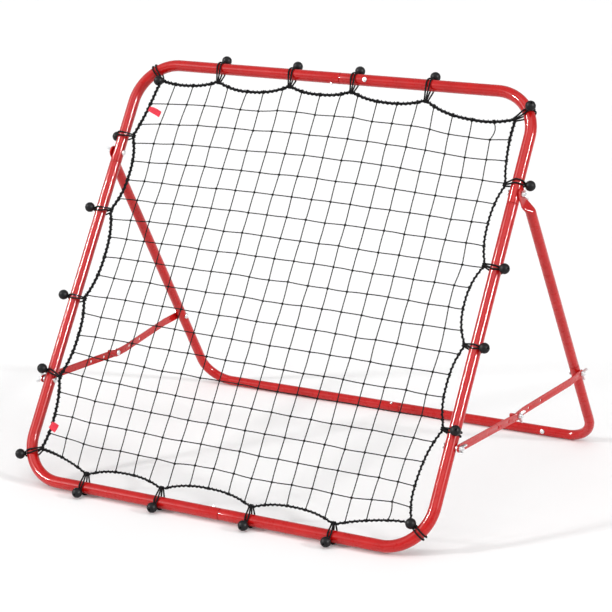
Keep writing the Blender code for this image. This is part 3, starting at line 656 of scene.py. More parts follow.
def smooth(value):
    """Smooth step from 0 to 1."""
    value = max(0.0, min(1.0, value))
    return value * value * (3 - 2 * value)


def leg_ring(side, distance, height, depth, centre_x, square, sides=TUBE_SIDES):
    """Section of a leg: an ellipse that grows squarer as the tube is pressed flat."""
    ring = []
    for i in range(sides):
        c, s = math.cos(2 * math.pi * i / sides), math.sin(2 * math.pi * i / sides)
        power = 2.0 / square
        ring.append(PIVOT + LEG_DIR * distance
                    + LEG_NORMAL * (height * math.copysign(abs(c) ** power, c))
                    + SIDE * side * (centre_x + depth * math.copysign(abs(s) ** power, s)))
    return ring


def leg(side):
    """Leg tube with a pressed round-ended tongue, and a plug at its lower end."""
    neck = STAND_R - WALL - PLAY
    rings = []
    for i in range(9):
        distance = -TONGUE_HALF * math.cos(math.pi / 2 * i / 8)
        height = max(TONGUE_HALF * math.sin(math.pi / 2 * i / 8), 0.0012)
        edge = 0.6 if i == 0 else 1.0
        rings.append(leg_ring(side, distance, height, TONGUE_T / 2 * edge,
                              TONGUE_X + TONGUE_T / 2, 4.5))
    for i in range(13):
        part = i / 12
        press = 1 - smooth(part)
        depth = STAND_R + (TONGUE_T / 2 - STAND_R) * press
        rings.append(leg_ring(side, PRESS_START + PRESS_RUN * part,
                              STAND_R + (TONGUE_HALF - STAND_R) * press, depth,
                              TONGUE_X + depth, 2.0 + 2.5 * press ** 2))
    edge = LEG_SEAM - SEAM_GAP
    outer = ((0.06, STAND_R), (edge - 0.001, STAND_R), (edge - 0.0002, STAND_R - 0.0001),
             (edge, STAND_R - 0.0004), (edge + SHOULDER, neck), (edge + SHOULDER + 0.001, neck),
             (LEG_SEAM + PLUG - 0.002, neck), (LEG_SEAM + PLUG, neck - 0.0008))
    inner = ((LEG_SEAM + PLUG, neck - WALL), (LEG_SEAM, neck - WALL),
             (LEG_SEAM - 0.004, STAND_R - WALL), (0.056, STAND_R - WALL))
    rings += [leg_ring(side, d, r, r, LEG_X, 2.0) for d, r in outer + inner]
    shape = Shape()
    shape.rings(rings)
    name = f"leg_{hand_of(side)}"
    obj = place_piece(name, shape.mesh(name, [RED]), "rear_stand", "red_powder_coat",
                      f"rear_{name}")
    cut_and_tidy(obj, through(PIVOT + SIDE * side * LEG_X, SIDE),
                 through(STRUT_REAR + SIDE * side * LEG_X, SIDE))


def foot(side):
    """L-shaped foot: lower end of a leg, bent into half of the rear crossbar."""
    top = PIVOT + LEG_DIR * LEG_SEAM + SIDE * side * LEG_X
    corner = FOOT + SIDE * side * LEG_X
    centre = corner - LEG_DIR * STAND_BEND_R - SIDE * side * STAND_BEND_R
    shape = Shape()
    shape.rings(tube_rings(sleeve_mouth(top, LEG_DIR, STAND_R)[::-1]
                           + bend(centre, SIDE * side, LEG_DIR, STAND_BEND_R, STAND_R)
                           + level_end(FOOT + SIDE * SEAM, side, STAND_R)), looped=True)
    name = f"foot_{hand_of(side)}"
    obj = place_piece(name, shape.mesh(name, [RED]), "rear_stand", "red_powder_coat",
                      f"rear_{name}")
    cut_and_tidy(obj, through(STRUT_REAR + SIDE * side * LEG_X, SIDE),
                 (FOOT, FOOT - LEG_DIR * DRILL_REACH, HOLE_R))


for side in (-1, 1):
    leg(side)
    foot(side)


# ---- struts --------------------------------------------------------------------
def bake_curve(curve, matrix=None):
    """Mesh of a filled 2D curve."""
    obj = loose("curve", curve)
    mesh = evaluated_mesh(obj)
    bpy.data.objects.remove(obj, do_unlink=True)
    if matrix is not None:
        mesh.transform(matrix)
    return mesh


def filled(name, loops, thickness, edge):
    """Plate from 2D outlines, with rounded edges; local Z is its thickness."""
    curve = bpy.data.curves.new(name, "CURVE")
    curve.dimensions = "2D"
    curve.fill_mode = "BOTH"
    curve.extrude = thickness / 2 - edge
    curve.bevel_depth = edge
    curve.bevel_resolution = 2
    for outline in loops:
        spline = curve.splines.new("POLY")
        spline.points.add(len(outline) - 1)
        for point, (x, y) in zip(spline.points, outline):
            point.co = (x, y, 0.0, 1.0)
        spline.use_cyclic_u = True
    return curve


def weld(mesh):
    """Merge the seams that a baked curve leaves open."""
    obj = loose("weld", mesh)
    step = obj.modifiers.new("weld", "WELD")
    step.merge_threshold = 0.00002
    result = evaluated_mesh(obj)
    bpy.data.objects.remove(obj, do_unlink=True)
    return result


def crease(mesh, distances):
    """Cut a flat bar's faces across at the distances where it will bend."""
    work = bmesh.new()
    work.from_mesh(mesh)
    for distance in distances:
        bmesh.ops.bisect_plane(work, geom=work.verts[:] + work.edges[:] + work.faces[:],
                               plane_co=(distance, 0.0, 0.0), plane_no=(1.0, 0.0, 0.0))
    work.to_mesh(mesh)
    work.free()


def bar(name, node, side, start, end, before, after, offsets, holes, body, finger=False):
    """Perforated flat bar between two bolts, set over along x by (distance, x) pairs.

    A finger is a slimmer tail before the first bolt, which rises from the bar's line.
    """
    along = (end - start).normalized()
    normal = SIDE.cross(along).normalized()
    length = (end - start).length
    edge = 0.0004
    half = STRUT_W / 2 - edge
    low, high = -before + half + edge, length + after - half - edge
    run = [low + (high - low) * i / 70 for i in range(71)]
    arc = [math.pi / 2 - math.pi * i / 18 for i in range(1, 18)]
    outline = ([(d, half) for d in run]
               + [(high + half * math.cos(a), half * math.sin(a)) for a in arc]
               + [(d, -half) for d in reversed(run)]
               + [(low - half * math.cos(a), -half * math.sin(a)) for a in arc])
    loops = [outline]
    for distance in holes:
        loops.append([(distance + (HOLE_R + edge) * math.cos(a), (HOLE_R + edge) * math.sin(a))
                      for a in (-2 * math.pi * i / 24 for i in range(24))])
    mesh = weld(bake_curve(filled(name, loops, STRUT_THICK, edge)))
    distances, xs = [d for d, _ in offsets], [x for _, x in offsets]
    crease(mesh, distances + ([-STRUT_W / 2, 0.0] if finger else []))
    for vertex in mesh.vertices:
        d, h, depth = vertex.co
        x = float(np.interp(d, distances, xs)) + STRUT_THICK / 2 + depth
        if finger and d < 0.0:
            h *= 1.0 + (2 * TAIL_HALF / STRUT_W - 1.0) * -d / before
            h += TAIL_RISE * max(-d - STRUT_W / 2, 0.0) / (before - STRUT_W / 2)
        vertex.co = start + along * d + normal * h + SIDE * side * x
    single_material(mesh, RED)
    tidy_normals(mesh, 35)
    return place_piece(name, mesh, body, "red_powder_coat", node)


FRONT_LEN = (STRUT_MID - STRUT_FRONT).length
REAR_LEN = (STRUT_REAR - STRUT_MID).length
for side, hand in ((-1, "left"), (1, "right")):
    bar(f"bar_front_{hand}", f"strut_front_{hand}", side, STRUT_FRONT, STRUT_MID, STRUT_EYE,
        MID_TAIL_FRONT, ((0.0, FRONT_BAR_X), (FRONT_LEN, FRONT_BAR_X)),
        (0.0, FRONT_LEN - 2 * HOLE_PITCH, FRONT_LEN - HOLE_PITCH, FRONT_LEN),
        f"strut_front_bar_{hand}")
    bar(f"bar_rear_{hand}", f"strut_rear_{hand}", side, STRUT_MID, STRUT_REAR, MID_TAIL_REAR,
        STRUT_EYE, ((0.0, REAR_MID_X), (SET_START, REAR_MID_X),
                    (REAR_LEN - SET_END, REAR_BAR_X), (REAR_LEN, REAR_BAR_X)),
        (0.0, HOLE_PITCH, 2 * HOLE_PITCH, REAR_LEN), f"strut_rear_bar_{hand}", finger=True)


# ---- hardware ------------------------------------------------------------------
def thread(low, high, pitch=0.0010, depth=0.00028):
    """Profile points of a threaded length."""
    turns = int((high - low) / pitch)
    points = []
    for i in range(turns):
        z = low + i * pitch
        points += [(BOLT_R - depth, z), (BOLT_R, z + pitch * 0.5)]
    return points


def bolt_profile(length, threaded):
    """Round-head bolt: head below 0, shank up to length."""
    dome = [(HEAD_R * math.cos(a), -HEAD_H * 0.35 - HEAD_H * 0.65 * math.sin(a))
            for a in (math.pi / 2 * i / 7 for i in range(7))]
    profile = [(0.0, -HEAD_H)] + dome[::-1] + [(HEAD_R, -0.0003), (HEAD_R - 0.0003, 0.0),
                                              (BOLT_R, 0.0), (BOLT_R, length - threaded)]
    profile += thread(length - threaded, length - 0.0008)
    return profile + [(BOLT_R - 0.0006, length), (0.0, length)]


def bolt(name, seat, direction, length, body, threaded=0.012, segments=24):
    """Zinc bolt whose head sits behind the seat."""
    shape = Shape()
    shape.lathe(bolt_profile(length, threaded), outward(seat, direction), segments)
    return place_piece(f"zinc_{name}", shape.mesh(name, [ZINC]), body, "zinc_plate", name)


def smooth_loop(points, steps=5):
    """Closed Catmull-Rom curve through 2D points."""
    result = []
    count = len(points)
    for i in range(count):
        p = [points[(i + k) % count] for k in (-1, 0, 1, 2)]
        for j in range(steps):
            t = j / steps
            weights = (-0.5 * t ** 3 + t ** 2 - 0.5 * t, 1.5 * t ** 3 - 2.5 * t ** 2 + 1,
                       -1.5 * t ** 3 + 2 * t ** 2 + 0.5 * t, 0.5 * t ** 3 - 0.5 * t ** 2)
            result.append((sum(w * q[0] for w, q in zip(weights, p)),
                           sum(w * q[1] for w, q in zip(weights, p))))
    return result


def hub_shape():
    """Bored, chamfered hub of a wing nut."""
    shape = Shape()
    hole = BOLT_R + 0.0002
    shape.lathe([(hole, 0.0002), (hole + 0.0002, 0.0), (HUB_R - 0.0003, 0.0), (HUB_R, 0.0004),
                 (HUB_R, 0.0012), (HUB_R * 0.84, HUB_H - 0.0004), (HUB_R * 0.84 - 0.0003, HUB_H),
                 (hole + 0.0004, HUB_H), (hole, HUB_H - 0.0004)], Matrix.Identity(4), 32)
    return shape


def wing_nut_mesh():
    """Wing nut about local Z, its wings along local X."""
    outline = smooth_loop([(0.0040, 0.0012), (0.0075, 0.0024), (0.0106, 0.0046),
                           (0.0127, 0.0077), (0.0126, 0.0102), (0.0110, 0.0108),
                           (0.0090, 0.0099), (0.0066, 0.0074), (0.0042, 0.0056)])
    hub = loose("hub", hub_shape().mesh("hub", [ZINC]))
    for way in (1, -1):
        curve = filled("wing", [[(x * way, y) for x, y in outline][::way]], 0.0023, 0.0006)
        wing = weld(bake_curve(curve, Matrix.Rotation(math.pi / 2, 4, "X")))
        tidy_normals(wing)
        boolean(hub, loose("wing", wing), "UNION")
    mesh = hub.data
    bpy.data.objects.remove(hub, do_unlink=True)
    single_material(mesh, ZINC)
    tidy_normals(mesh, 40)
    return mesh


WING_NUT = wing_nut_mesh()


def wing_nut(node, seat, direction, wings_along, body, extra=None):
    """Place a wing nut on its seat; extra is more profiles in the nut's own axes."""
    across = direction.cross(wings_along).normalized()
    place = axes_at(seat, across.cross(direction).normalized(), across, direction)
    mesh = WING_NUT.copy()
    if extra:
        shape = Shape()
        for profile in extra:
            shape.lathe(profile, Matrix.Identity(4), 28)
        added = loose("added", shape.mesh("added", [ZINC]))
        nut = loose("nut", mesh)
        bpy.ops.object.select_all(action="DESELECT")
        added.select_set(True)
        nut.select_set(True)
        bpy.context.view_layer.objects.active = nut
        bpy.ops.object.join()
        mesh = nut.data
        bpy.data.objects.remove(nut, do_unlink=True)
    mesh.transform(place)
    return place_piece(f"zinc_{node}", mesh, body, "zinc_plate", node)


for side, hand in ((-1, "left"), (1, "right")):
    out = SIDE * side
    slant = UP.cross(SIDE).normalized() * 0.5 + UP
    tip = HUB_H + BOLT_TIP
    head_x = HALF - TUBE_R - GAP
    seat = TONGUE_X + TONGUE_T + GAP
    bolt(f"pivot_bolt_{hand}", PIVOT + out * head_x, out, seat + tip - head_x, "front_frame")
    wing_nut(f"pivot_wing_nut_{hand}", PIVOT + out * seat, out, -LEG_DIR, "front_frame")
    bolt(f"strut_front_bolt_{hand}", STRUT_FRONT + out * head_x, out, 2 * TUBE_R + GAP,
         "front_frame", 0.004)
    far = -STRUT_THICK - 2 * GAP
    end_z = far - STANDOFF + GAP
    stub = [(0.0, far), (BOLT_R, far)] + thread(0.0, tip - 0.0008) + [(BOLT_R - 0.0006, tip),
                                                                     (0.0, tip)]
    collar = [(0.0, end_z), (HUB_R - 0.0003, end_z), (HUB_R, end_z + 0.0003),
              (HUB_R, far - 0.0003), (HUB_R - 0.0003, far), (0.0, far)]
    wing_nut(f"strut_front_wing_{hand}", STRUT_FRONT + out * (FRONT_BAR_X + STRUT_THICK + GAP),
             out, slant, f"strut_front_bar_{hand}", (stub, collar))
    seat = FRONT_BAR_X + STRUT_THICK + GAP
    bolt(f"strut_mid_bolt_{hand}", STRUT_MID + out * (REAR_MID_X - GAP), out,
         seat + tip - REAR_MID_X + GAP, f"strut_rear_bar_{hand}", 0.008)
    wing_nut(f"strut_mid_wing_nut_{hand}", STRUT_MID + out * seat, out, UP,
             f"strut_rear_bar_{hand}")
    seat = REAR_BAR_X + STRUT_THICK + GAP
    head_x = LEG_X - STAND_R - GAP
    bolt(f"strut_rear_bolt_{hand}", STRUT_REAR + out * head_x, out, seat + tip - head_x,
         "rear_stand")
    wing_nut(f"strut_rear_wing_nut_{hand}", STRUT_REAR + out * seat, out, UP, "rear_stand")

for name, centre, inward, radius in (("top", BASE + UP * SPAN, -UP, TUBE_R),
                                     ("bottom", BASE, UP, TUBE_R),
                                     ("rear", FOOT, -LEG_DIR, STAND_R)):
    shelf = radius - 0.0038
    top = radius + PIN_OUT
    dome = [(PIN_R * math.cos(a), top - 0.0012 + 0.0012 * math.sin(a))
            for a in (math.pi / 2 * i / 6 for i in range(6))]
    shape = Shape()
    shape.lathe([(0.0, shelf - 0.0010), (PIN_R + 0.0009, shelf - 0.0010), (PIN_R + 0.0009, shelf),
                 (PIN_R, shelf)] + dome + [(0.0, top)], outward(centre, inward), 24)
    place_piece(f"zinc_button_{name}", shape.mesh(name, [ZINC]), f"button_{name}", "zinc_plate",
                f"snap_button_{name}")

for name, centre, radius, face, body in (
        ("top_screw", BASE + UP * SPAN + SIDE * 0.084, TUBE_R, FRONT - UP * 0.25, "front_frame"),
        ("rear_screw", FOOT + SIDE * 0.389, STAND_R, Vector((0, -1, 0.10)), "rear_stand")):
    face = face.normalized()
    shape = Shape()
    shape.lathe([(0.0, 0.0), (0.0050, 0.0), (0.0052, 0.0003), (0.0052, 0.0007), (0.0048, 0.0010),
                 (0.0034, 0.0011), (0.0031, 0.0016), (0.0023, 0.0021), (0.0011, 0.0022),
                 (0.0008, 0.0015), (0.0, 0.0014)], outward(centre + face * (radius + GAP), face), 28)
    place_piece(f"zinc_{name}", shape.mesh(name, [ZINC]), body, "zinc_plate", name)

for name in ("top", "bottom", "rear"):
    single_material(frame["nodes"][f"snap_spring_{name}"].data, ZINC)


# ---- ball ties -----------------------------------------------------------------
def add_straight(points, end, rising):
    """Add six points of a straight run from the last one to an end, with their shares."""
    start = points[-1]
    for i in range(1, 7):
        s = i / 7
        points.append((start[0] + (end[0] - start[0]) * s, start[1] + (end[1] - start[1]) * s,
                       s if rising else 1 - s))


def loop_path(rope_at, rope_r, tube_r):
    """Closed belt round the tube and the rope in the tie's plane, from the rope's far side.

    Returns (x, y, share) points: share is 0 on the rope and 1 on the tube.
    """
    distance = math.hypot(*rope_at)
    toward = math.atan2(rope_at[1], rope_at[0])
    lean = math.acos((tube_r - rope_r) / distance)
    points = []
    for i in range(13):
        a = toward - lean + 2 * lean * i / 12
        points.append((rope_at[0] + rope_r * math.cos(a), rope_at[1] + rope_r * math.sin(a), 0.0))
    add_straight(points, (tube_r * math.cos(toward + lean), tube_r * math.sin(toward + lean)),
                 True)
    sweep = 2 * math.pi - 2 * lean
    for i in range(33):
        a = toward + lean + sweep * i / 32
        points.append((tube_r * math.cos(a), tube_r * math.sin(a), 1.0))
    add_straight(points, points[0], False)
    return points


def tie(name, centre, out, along, ball_angle, rope_in, rope_front, shift, ball_out=BALL_OUT):
    """Elastic loop of two strands round the tube and the rope, threaded through its ball."""
    angle = math.radians(ball_angle)
    rope = (-rope_in, rope_front)
    shape = Shape()
    belt = loop_path(rope, ROPE_R + CORD_R + 0.0002, TUBE_R + CORD_R + 0.0002)
    for strand in (-1, 1):
        points = []
        for x, y, share in belt:
            away = abs((math.atan2(y, x) - angle + math.pi) % (2 * math.pi) - math.pi)
            near_ball = smooth(away / math.radians(62)) if share == 1.0 else 1.0
            spread = CORD_CLOSE + (CORD_SPREAD - CORD_CLOSE) * smooth(share) * near_ball
            lift = 0.0004 * (1 - near_ball)
            scale = 1 + lift / TUBE_R
            points.append(centre + out * (x * scale) + FRONT * (y * scale)
                          + along * (strand * spread + shift * (1 - share)))
        shape.sweep(points, CORD_R, 10, closed=True)
    ball_dir = out * math.cos(angle) + FRONT * math.sin(angle)
    for strand in (-1, 1):
        foot_at = centre + ball_dir * (TUBE_R + CORD_R) + along * strand * CORD_CLOSE
        head_at = centre + ball_dir * (ball_out + BALL_R * 0.72) + along * strand * 0.0010
        shape.sweep([foot_at.lerp(head_at, i / 6) for i in range(7)], 0.0012, 8)
    shape.mark = 1
    open_at = math.asin(BALL_BORE / BALL_R)
    profile = []
    for i in range(25):
        a = open_at + (math.pi - 2 * open_at) * i / 24
        radius = BALL_R + (0.00012 if i in (11, 12, 13) else 0.0)
        profile.append((radius * math.sin(a), -radius * math.cos(a)))
    profile += [(BALL_BORE - 0.0003, BALL_R * 0.90), (BALL_BORE - 0.0003, -BALL_R * 0.90)]
    shape.lathe(profile, outward(centre + ball_dir * ball_out, ball_dir), 32)
    node = f"tie_{name}"
    place_piece(f"elastic_{node}", shape.mesh(node, [SHEATH, PLASTIC]), "front_frame",
                "black_elastic", node)


pulls = []     # rope's pull points in the net's plane: x, t and the place in front of it
sides = (("bottom", TIES_BOTTOM, -UP, SIDE, 0.0), ("right", TIES_RIGHT, SIDE, UP, HALF),
         ("top", TIES_TOP, UP, SIDE, SPAN), ("left", TIES_LEFT, -SIDE, UP, -HALF))
for side_name, table, out, along, at in sides:
    for i, (place, ball_angle, pull, rope_in) in enumerate(table):
        if along is UP:
            centre = BASE + SIDE * at + UP * place
            pulls.append((at - math.copysign(rope_in, at), pull, NET_FRONT))
        else:
            centre = BASE + UP * at + SIDE * place
            pulls.append((pull, at + (rope_in if at == 0.0 else -rope_in), NET_FRONT))
        tie(f"{side_name}_{i + 1}", centre, out, along, ball_angle, rope_in, NET_FRONT,
            pull - place)
for name, (side, end, turn, ball_angle, ball_out, pull) in TIES_CORNER.items():
    hub = (side * (HALF - BEND_R), BEND_R if end < 0 else SPAN - BEND_R)
    way = (side * math.cos(math.radians(turn)), end * math.sin(math.radians(turn)))
    centre = BASE + SIDE * (hub[0] + way[0] * BEND_R) + UP * (hub[1] + way[1] * BEND_R)
    out = SIDE * way[0] + UP * way[1]
    along = FRONT.cross(out)
    pulls.append(pull)
    offset = net_point(pull[0], pull[1], 0.0) - centre
    tie(f"corner_{name}", centre, out, along, ball_angle, -offset.dot(out), pull[2],
        offset.dot(along), ball_out)


# ---- border rope ---------------------------------------------------------------
# anticlockwise from the bottom left corner's
pulls.sort(key=lambda p: (math.atan2(p[1] - SPAN / 2, p[0]) + math.radians(140)) % (2 * math.pi))


def rope_line(steps=40):
    """Rope's centreline as (x, t, front), sagging flatly inwards between its pulls."""
    line = []
    for here, there, sag in zip(pulls, pulls[1:] + pulls[:1], SAGS):
        a, b = np.array(here), np.array(there)
        chord = b - a
        inward = np.array([-chord[1], chord[0], 0.0]) / math.hypot(chord[0], chord[1])
        for i in range(steps):
            s = i / steps
            point = a + chord * s + inward * sag * (1 - abs(2 * s - 1) ** 2.4)
            point[2] = NET_FRONT + (here[2] - NET_FRONT) * max(0.0, 1 - 4 * s) ** 2 \
                + (there[2] - NET_FRONT) * max(0.0, 4 * s - 3) ** 2
            line.append(point)
    line = np.array(line)
    for _ in range(2):
        line = (np.roll(line, 1, 0) + 2 * line + np.roll(line, -1, 0)) / 4
    return line


def resample(points, step, closed=False):
    """Points at even distances along a polyline."""
    points = np.asarray(points, float)
    run, total = lengths_along(points, closed)
    if closed:
        points, run = np.vstack([points, points[:1]]), np.append(run, total)
    count = max(2, int(round(total / step)))
    marks = np.linspace(0.0, total, count, endpoint=not closed)
    return np.stack([np.interp(marks, run, points[:, k]) for k in range(3)], axis=-1)


rope_plane = resample(rope_line(), ROPE_STEP, closed=True)
rope_world = np.array([net_point(*p) for p in rope_plane])


def rope_girth(x, t):
    """The rope is fuller along the top and the left, where the edge lacing is wound closely."""
    return 0.72 + 0.28 * max(smooth((t - 0.80) / 0.1), smooth((-0.38 - x) / 0.06))


girth = np.array([rope_girth(x, t) for x, t, _ in rope_plane])


def coil(points, radius, pitch, phase=0.0):
    """Helix round a closed path, with a whole number of turns."""
    _, normals, binormals = path_frames(points, True)
    run, total = lengths_along(points, True)
    angle = (run * round(total / pitch) * 2 * math.pi / total + phase)[:, None]
    reach = np.broadcast_to(np.asarray(radius, float), (len(points),))[:, None]
    return points + reach * (normals * np.cos(angle) + binormals * np.sin(angle))


rope = Shape()
for k in range(3):
    rope.sweep(coil(rope_world, YARN_OUT * girth, YARN_LAY, 2 * math.pi * k / 3),
               YARN_R * girth, 7, closed=True)
lacing = resample(rope_world, LACING_STEP, closed=True)
lacing_girth = np.interp(np.linspace(0, 1, len(lacing)), np.linspace(0, 1, len(girth)), girth)
rope.sweep(coil(lacing, LACING_OUT * lacing_girth, LACING_LAY), STRING_R, 5, closed=True)
place_piece("laid_border_rope", rope.mesh("laid_border_rope", [ROPE]), "front_frame",
            "black_twine", "border_rope")


# ---- net -----------------------------------------------------------------------
def rope_crossing(value, axis, low_side):
    """Point of the rope where its x (axis 0) or t (axis 1) has a value, on the low or high side."""
    other = 1 - axis
    middle = SPAN / 2 if other == 1 else 0.0
    here = rope_plane[(rope_plane[:, other] < middle) == low_side]
    return here[np.argmin(np.abs(here[:, axis] - value))][:2]


def jitter(size):
    """Small seeded deviation."""
    return rng.uniform(-size, size)


# where the strings meet the rope, for the top, bottom, left and right: the first one's place,
# the step to the next, the axis and whether it's the low side
EDGES = ((-0.386, 0.0464, 0, False), (-0.394, 0.0468, 0, True),
         (0.872, -0.0454, 1, True), (0.867, -0.0460, 1, False))
edge_ends = ([], [], [], [])
for k in range(STRINGS):
    for ends, (first, step, axis, low_side) in zip(edge_ends, EDGES):
        ends.append(rope_crossing(first + step * k + jitter(END_JITTER), axis, low_side))
top_ends, bottom_ends, left_ends, right_ends = edge_ends


def solve_knots():
    """Knots in balance between their four neighbours; row 0 is the top."""
    size = STRINGS * STRINGS
    pull, load = np.zeros((size, size)), np.zeros((size, 2))
    for i in range(STRINGS):
        for j in range(STRINGS):
            at = i * STRINGS + j
            pull[at, at] = 4.0
            for di, dj, ends in ((0, -1, top_ends), (0, 1, bottom_ends),
                                 (-1, 0, left_ends), (1, 0, right_ends)):
                ni, nj = i + di, j + dj
                if 0 <= ni < STRINGS and 0 <= nj < STRINGS:
                    pull[at, ni * STRINGS + nj] = -1.0
                else:
                    load[at] += ends[i if di == 0 else j]
    knots = np.linalg.solve(pull, load).reshape(STRINGS, STRINGS, 2)
    for i in range(STRINGS):
        for j in range(STRINGS):
            knots[i, j] += (jitter(KNOT_JITTER), jitter(KNOT_JITTER))
            knots[i, j, 0] += NET_PULL * i / STRINGS * math.sin(math.pi * (j + 1) / (STRINGS + 1))
    return knots


knots = solve_knots()


def string_path(stops, bows):
    """Twine through its knots; each stretch bows sideways by its own small amount."""
    points = []
    for (a, b), bow in zip(zip(stops, stops[1:]), bows):
        a, b = np.asarray(a), np.asarray(b)
        chord = b - a
        across = np.array([-chord[1], chord[0]]) / np.linalg.norm(chord)
        count = max(4, int(np.linalg.norm(chord) / RING_STEP))
        for n in range(count):
            s = n / count
            points.append(a + chord * s + across * bow * math.sin(math.pi * s))
    points.append(np.asarray(stops[-1]))
    return [net_point(x, t) for x, t in points]


def place_net(name, shape):
    """Link a part of the net."""
    place_piece(name, shape.mesh(name, [TWINE]), "front_frame", "black_twine", "net")


uprights, levels = Shape(), Shape()
for k in range(STRINGS):
    stops = [top_ends[k], *knots[k], bottom_ends[k]]
    bows = [jitter(BOW_JITTER) for _ in stops[1:]]
    if k == STRINGS - 1:
        bows[0], bows[-1] = 0.0065, 0.0030
    uprights.sweep(string_path(stops, bows), STRING_R, 6, ridge=STRING_RIDGE, pitch=STRING_LAY)
    stops = [left_ends[k], *knots[:, k], right_ends[k]]
    levels.sweep(string_path(stops, [jitter(BOW_JITTER) for _ in stops[1:]]), STRING_R, 6,
                 ridge=STRING_RIDGE, pitch=STRING_LAY)
place_net("net_uprights", uprights)
place_net("net_levels", levels)


def wound(centre, axis, across, radius, turns, rise, steps):
    """Short winding of twine round an axis."""
    third = axis.cross(across)
    points = []
    for i in range(steps + 1):
        s = i / steps
        a = 2 * math.pi * turns * s
        points.append(centre + axis * (rise * (s - 0.5))
                      + (across * math.cos(a) + third * math.sin(a)) * radius)
    return points


knot_shape = Shape()
for i in range(STRINGS):
    for j in range(STRINGS):
        at = net_point(*knots[i, j])
        tilt = (SIDE * (1 + jitter(0.25)) + UP * (0.9 + jitter(0.35))).normalized()
        cross_tilt = FRONT.cross(tilt).normalized()
        knot_shape.sweep(wound(at, tilt, cross_tilt, radius=0.00185, turns=1.6, rise=0.0038,
                               steps=11), 0.00125, 5)
        knot_shape.sweep(wound(at, cross_tilt, FRONT, radius=0.00165, turns=0.9, rise=0.0016,
                               steps=6), 0.00115, 5)
place_net("net_knots", knot_shape)

hitches = Shape()
for ends in edge_ends:
    for x, t in ends:
        nearest = int(np.argmin(np.hypot(rope_plane[:, 0] - x, rope_plane[:, 1] - t)))
        ahead = Vector(rope_world[(nearest + 2) % len(rope_world)])
        axis = (ahead - Vector(rope_world[nearest - 2])).normalized()
        at = Vector(rope_world[nearest])
        full = 0.0031 * girth[nearest] + 0.0004
        hitches.sweep(wound(at, axis, FRONT, full, turns=2.0, rise=0.0036, steps=22),
                      STRING_R, 5)
place_net("net_hitches", hitches)


# ---- cloth tags ----------------------------------------------------------------
def tag(name, start, end, width, droop, curl):
    """Small strip of cloth tied at its start: it droops along its length and curls across."""
    along = Vector(end) - Vector(start)
    length = along.length
    along.normalize()
    across = Vector((-along.y, along.x))
    columns, rows = 24, 10
    top, under = [], []
    for i in range(columns + 1):
        s = i / columns
        for j in range(rows + 1):
            w = j / rows - 0.5
            spot = (Vector(start) + along * length * s
                    + across * (width * w * (0.80 + 0.20 * smooth(s * 2)) - droop * s * s))
            front = NET_FRONT + 0.0046 + 0.0022 * math.sin(2.6 * s + 0.5) \
                + curl * (4 * w * w - 0.5) * (0.3 + s)
            for points, offset in ((top, 0.0003), (under, -0.0003)):
                points.append(net_point(spot.x, spot.y, front + offset))
    count = len(top)
    faces = []
    for i in range(columns):
        for j in range(rows):
            a = i * (rows + 1) + j
            b = a + rows + 1
            faces.append((a, a + 1, b + 1, b))
            faces.append(tuple(count + k for k in (b, b + 1, a + 1, a)))
    rim = ([i * (rows + 1) for i in range(columns)]
           + [columns * (rows + 1) + j for j in range(rows)]
           + [i * (rows + 1) + rows for i in range(columns, 0, -1)]
           + [j for j in range(rows, 0, -1)])
    for a, b in zip(rim, rim[1:] + rim[:1]):
        faces.append((a, b, count + b, count + a))
    shape = Shape()
    shape.put(top + under, faces)
    obj = place_piece(f"cloth_{name}", shape.mesh(name, [CLOTH]), "front_frame", "red_cloth",
                      name)


tag("tag_upper", (-0.4325, 0.861), (-0.3985, 0.854), width=0.014, droop=0.004, curl=0.0012)
tag("tag_lower", (-0.443, 0.118), (-0.424, 0.112), width=0.018, droop=0.001, curl=0.0010)


# ---- floor, light and camera ---------------------------------------------------
floor_mesh = bpy.data.meshes.new("floor")
floor_mesh.from_pydata([(-20, -20, -0.0004), (20, -20, -0.0004), (20, 20, -0.0004),
                        (-20, 20, -0.0004)], [], [(0, 1, 2, 3)])
floor_mesh.materials.append(floor_finish())
loose("floor", floor_mesh)

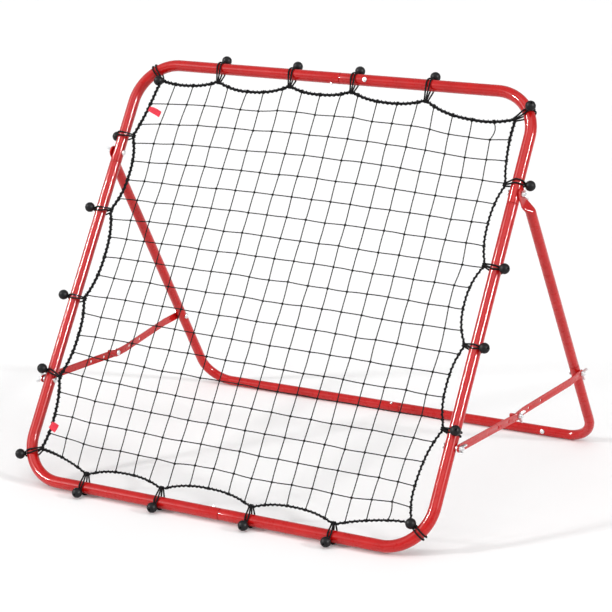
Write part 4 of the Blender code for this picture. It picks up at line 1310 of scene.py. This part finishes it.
scene = bpy.context.scene
scene.view_settings.view_transform = "Standard"
world = bpy.data.worlds.new("studio")
scene.world = world
world.use_nodes = True
world.node_tree.nodes["Background"].inputs["Color"].default_value = (1.0, 1.0, 1.0, 1.0)
world.node_tree.nodes["Background"].inputs["Strength"].default_value = 0.55


def facing(azimuth, elevation):
    """Unit vector towards an azimuth, from -Y round to +X, and an elevation in radians."""
    return Vector((math.sin(azimuth) * math.cos(elevation),
                   -math.cos(azimuth) * math.cos(elevation), math.sin(elevation)))


def sun(name, azimuth, elevation, strength, spread, gleam_only=False):
    """Distant round softbox of some degrees across, so that it lights the whole floor evenly.

    A gleam_only one shows in glossy finishes and adds nothing to the floor's brightness.
    """
    light = bpy.data.lights.new(name, "SUN")
    light.energy = strength
    light.angle = math.radians(spread)
    obj = bpy.data.objects.new(name, light)
    scene.collection.objects.link(obj)
    obj.visible_diffuse = not gleam_only
    direction = facing(math.radians(azimuth), math.radians(elevation))
    obj.rotation_euler = direction.to_track_quat("Z", "Y").to_euler()


sun("left_light", CAMERA_AZIMUTH - 74, 24, 1.35, 6)
sun("right_light", CAMERA_AZIMUTH + 60, 24, 1.25, 6)
sun("high_light", CAMERA_AZIMUTH - 8, 60, 1.0, 60)
sun("left_gleam", CAMERA_AZIMUTH - 90, 33, 1.8, 6, gleam_only=True)
sun("right_gleam", CAMERA_AZIMUTH + 50, 22, 1.8, 6, gleam_only=True)

camera_data = bpy.data.cameras.new("camera")
camera_data.sensor_fit = "HORIZONTAL"
camera_data.angle = math.radians(CAMERA_FOV)
camera = bpy.data.objects.new("camera", camera_data)
scene.collection.objects.link(camera)
back = facing(math.radians(CAMERA_AZIMUTH), math.radians(CAMERA_ELEVATION))
right = (-back).cross(Vector((0, 0, 1))).normalized()
above = right.cross(-back)
roll = math.radians(CAMERA_ROLL)
camera.matrix_world = axes_at(CAMERA_AT, right * math.cos(roll) + above * math.sin(roll),
                              above * math.cos(roll) - right * math.sin(roll), back)
scene.camera = camera
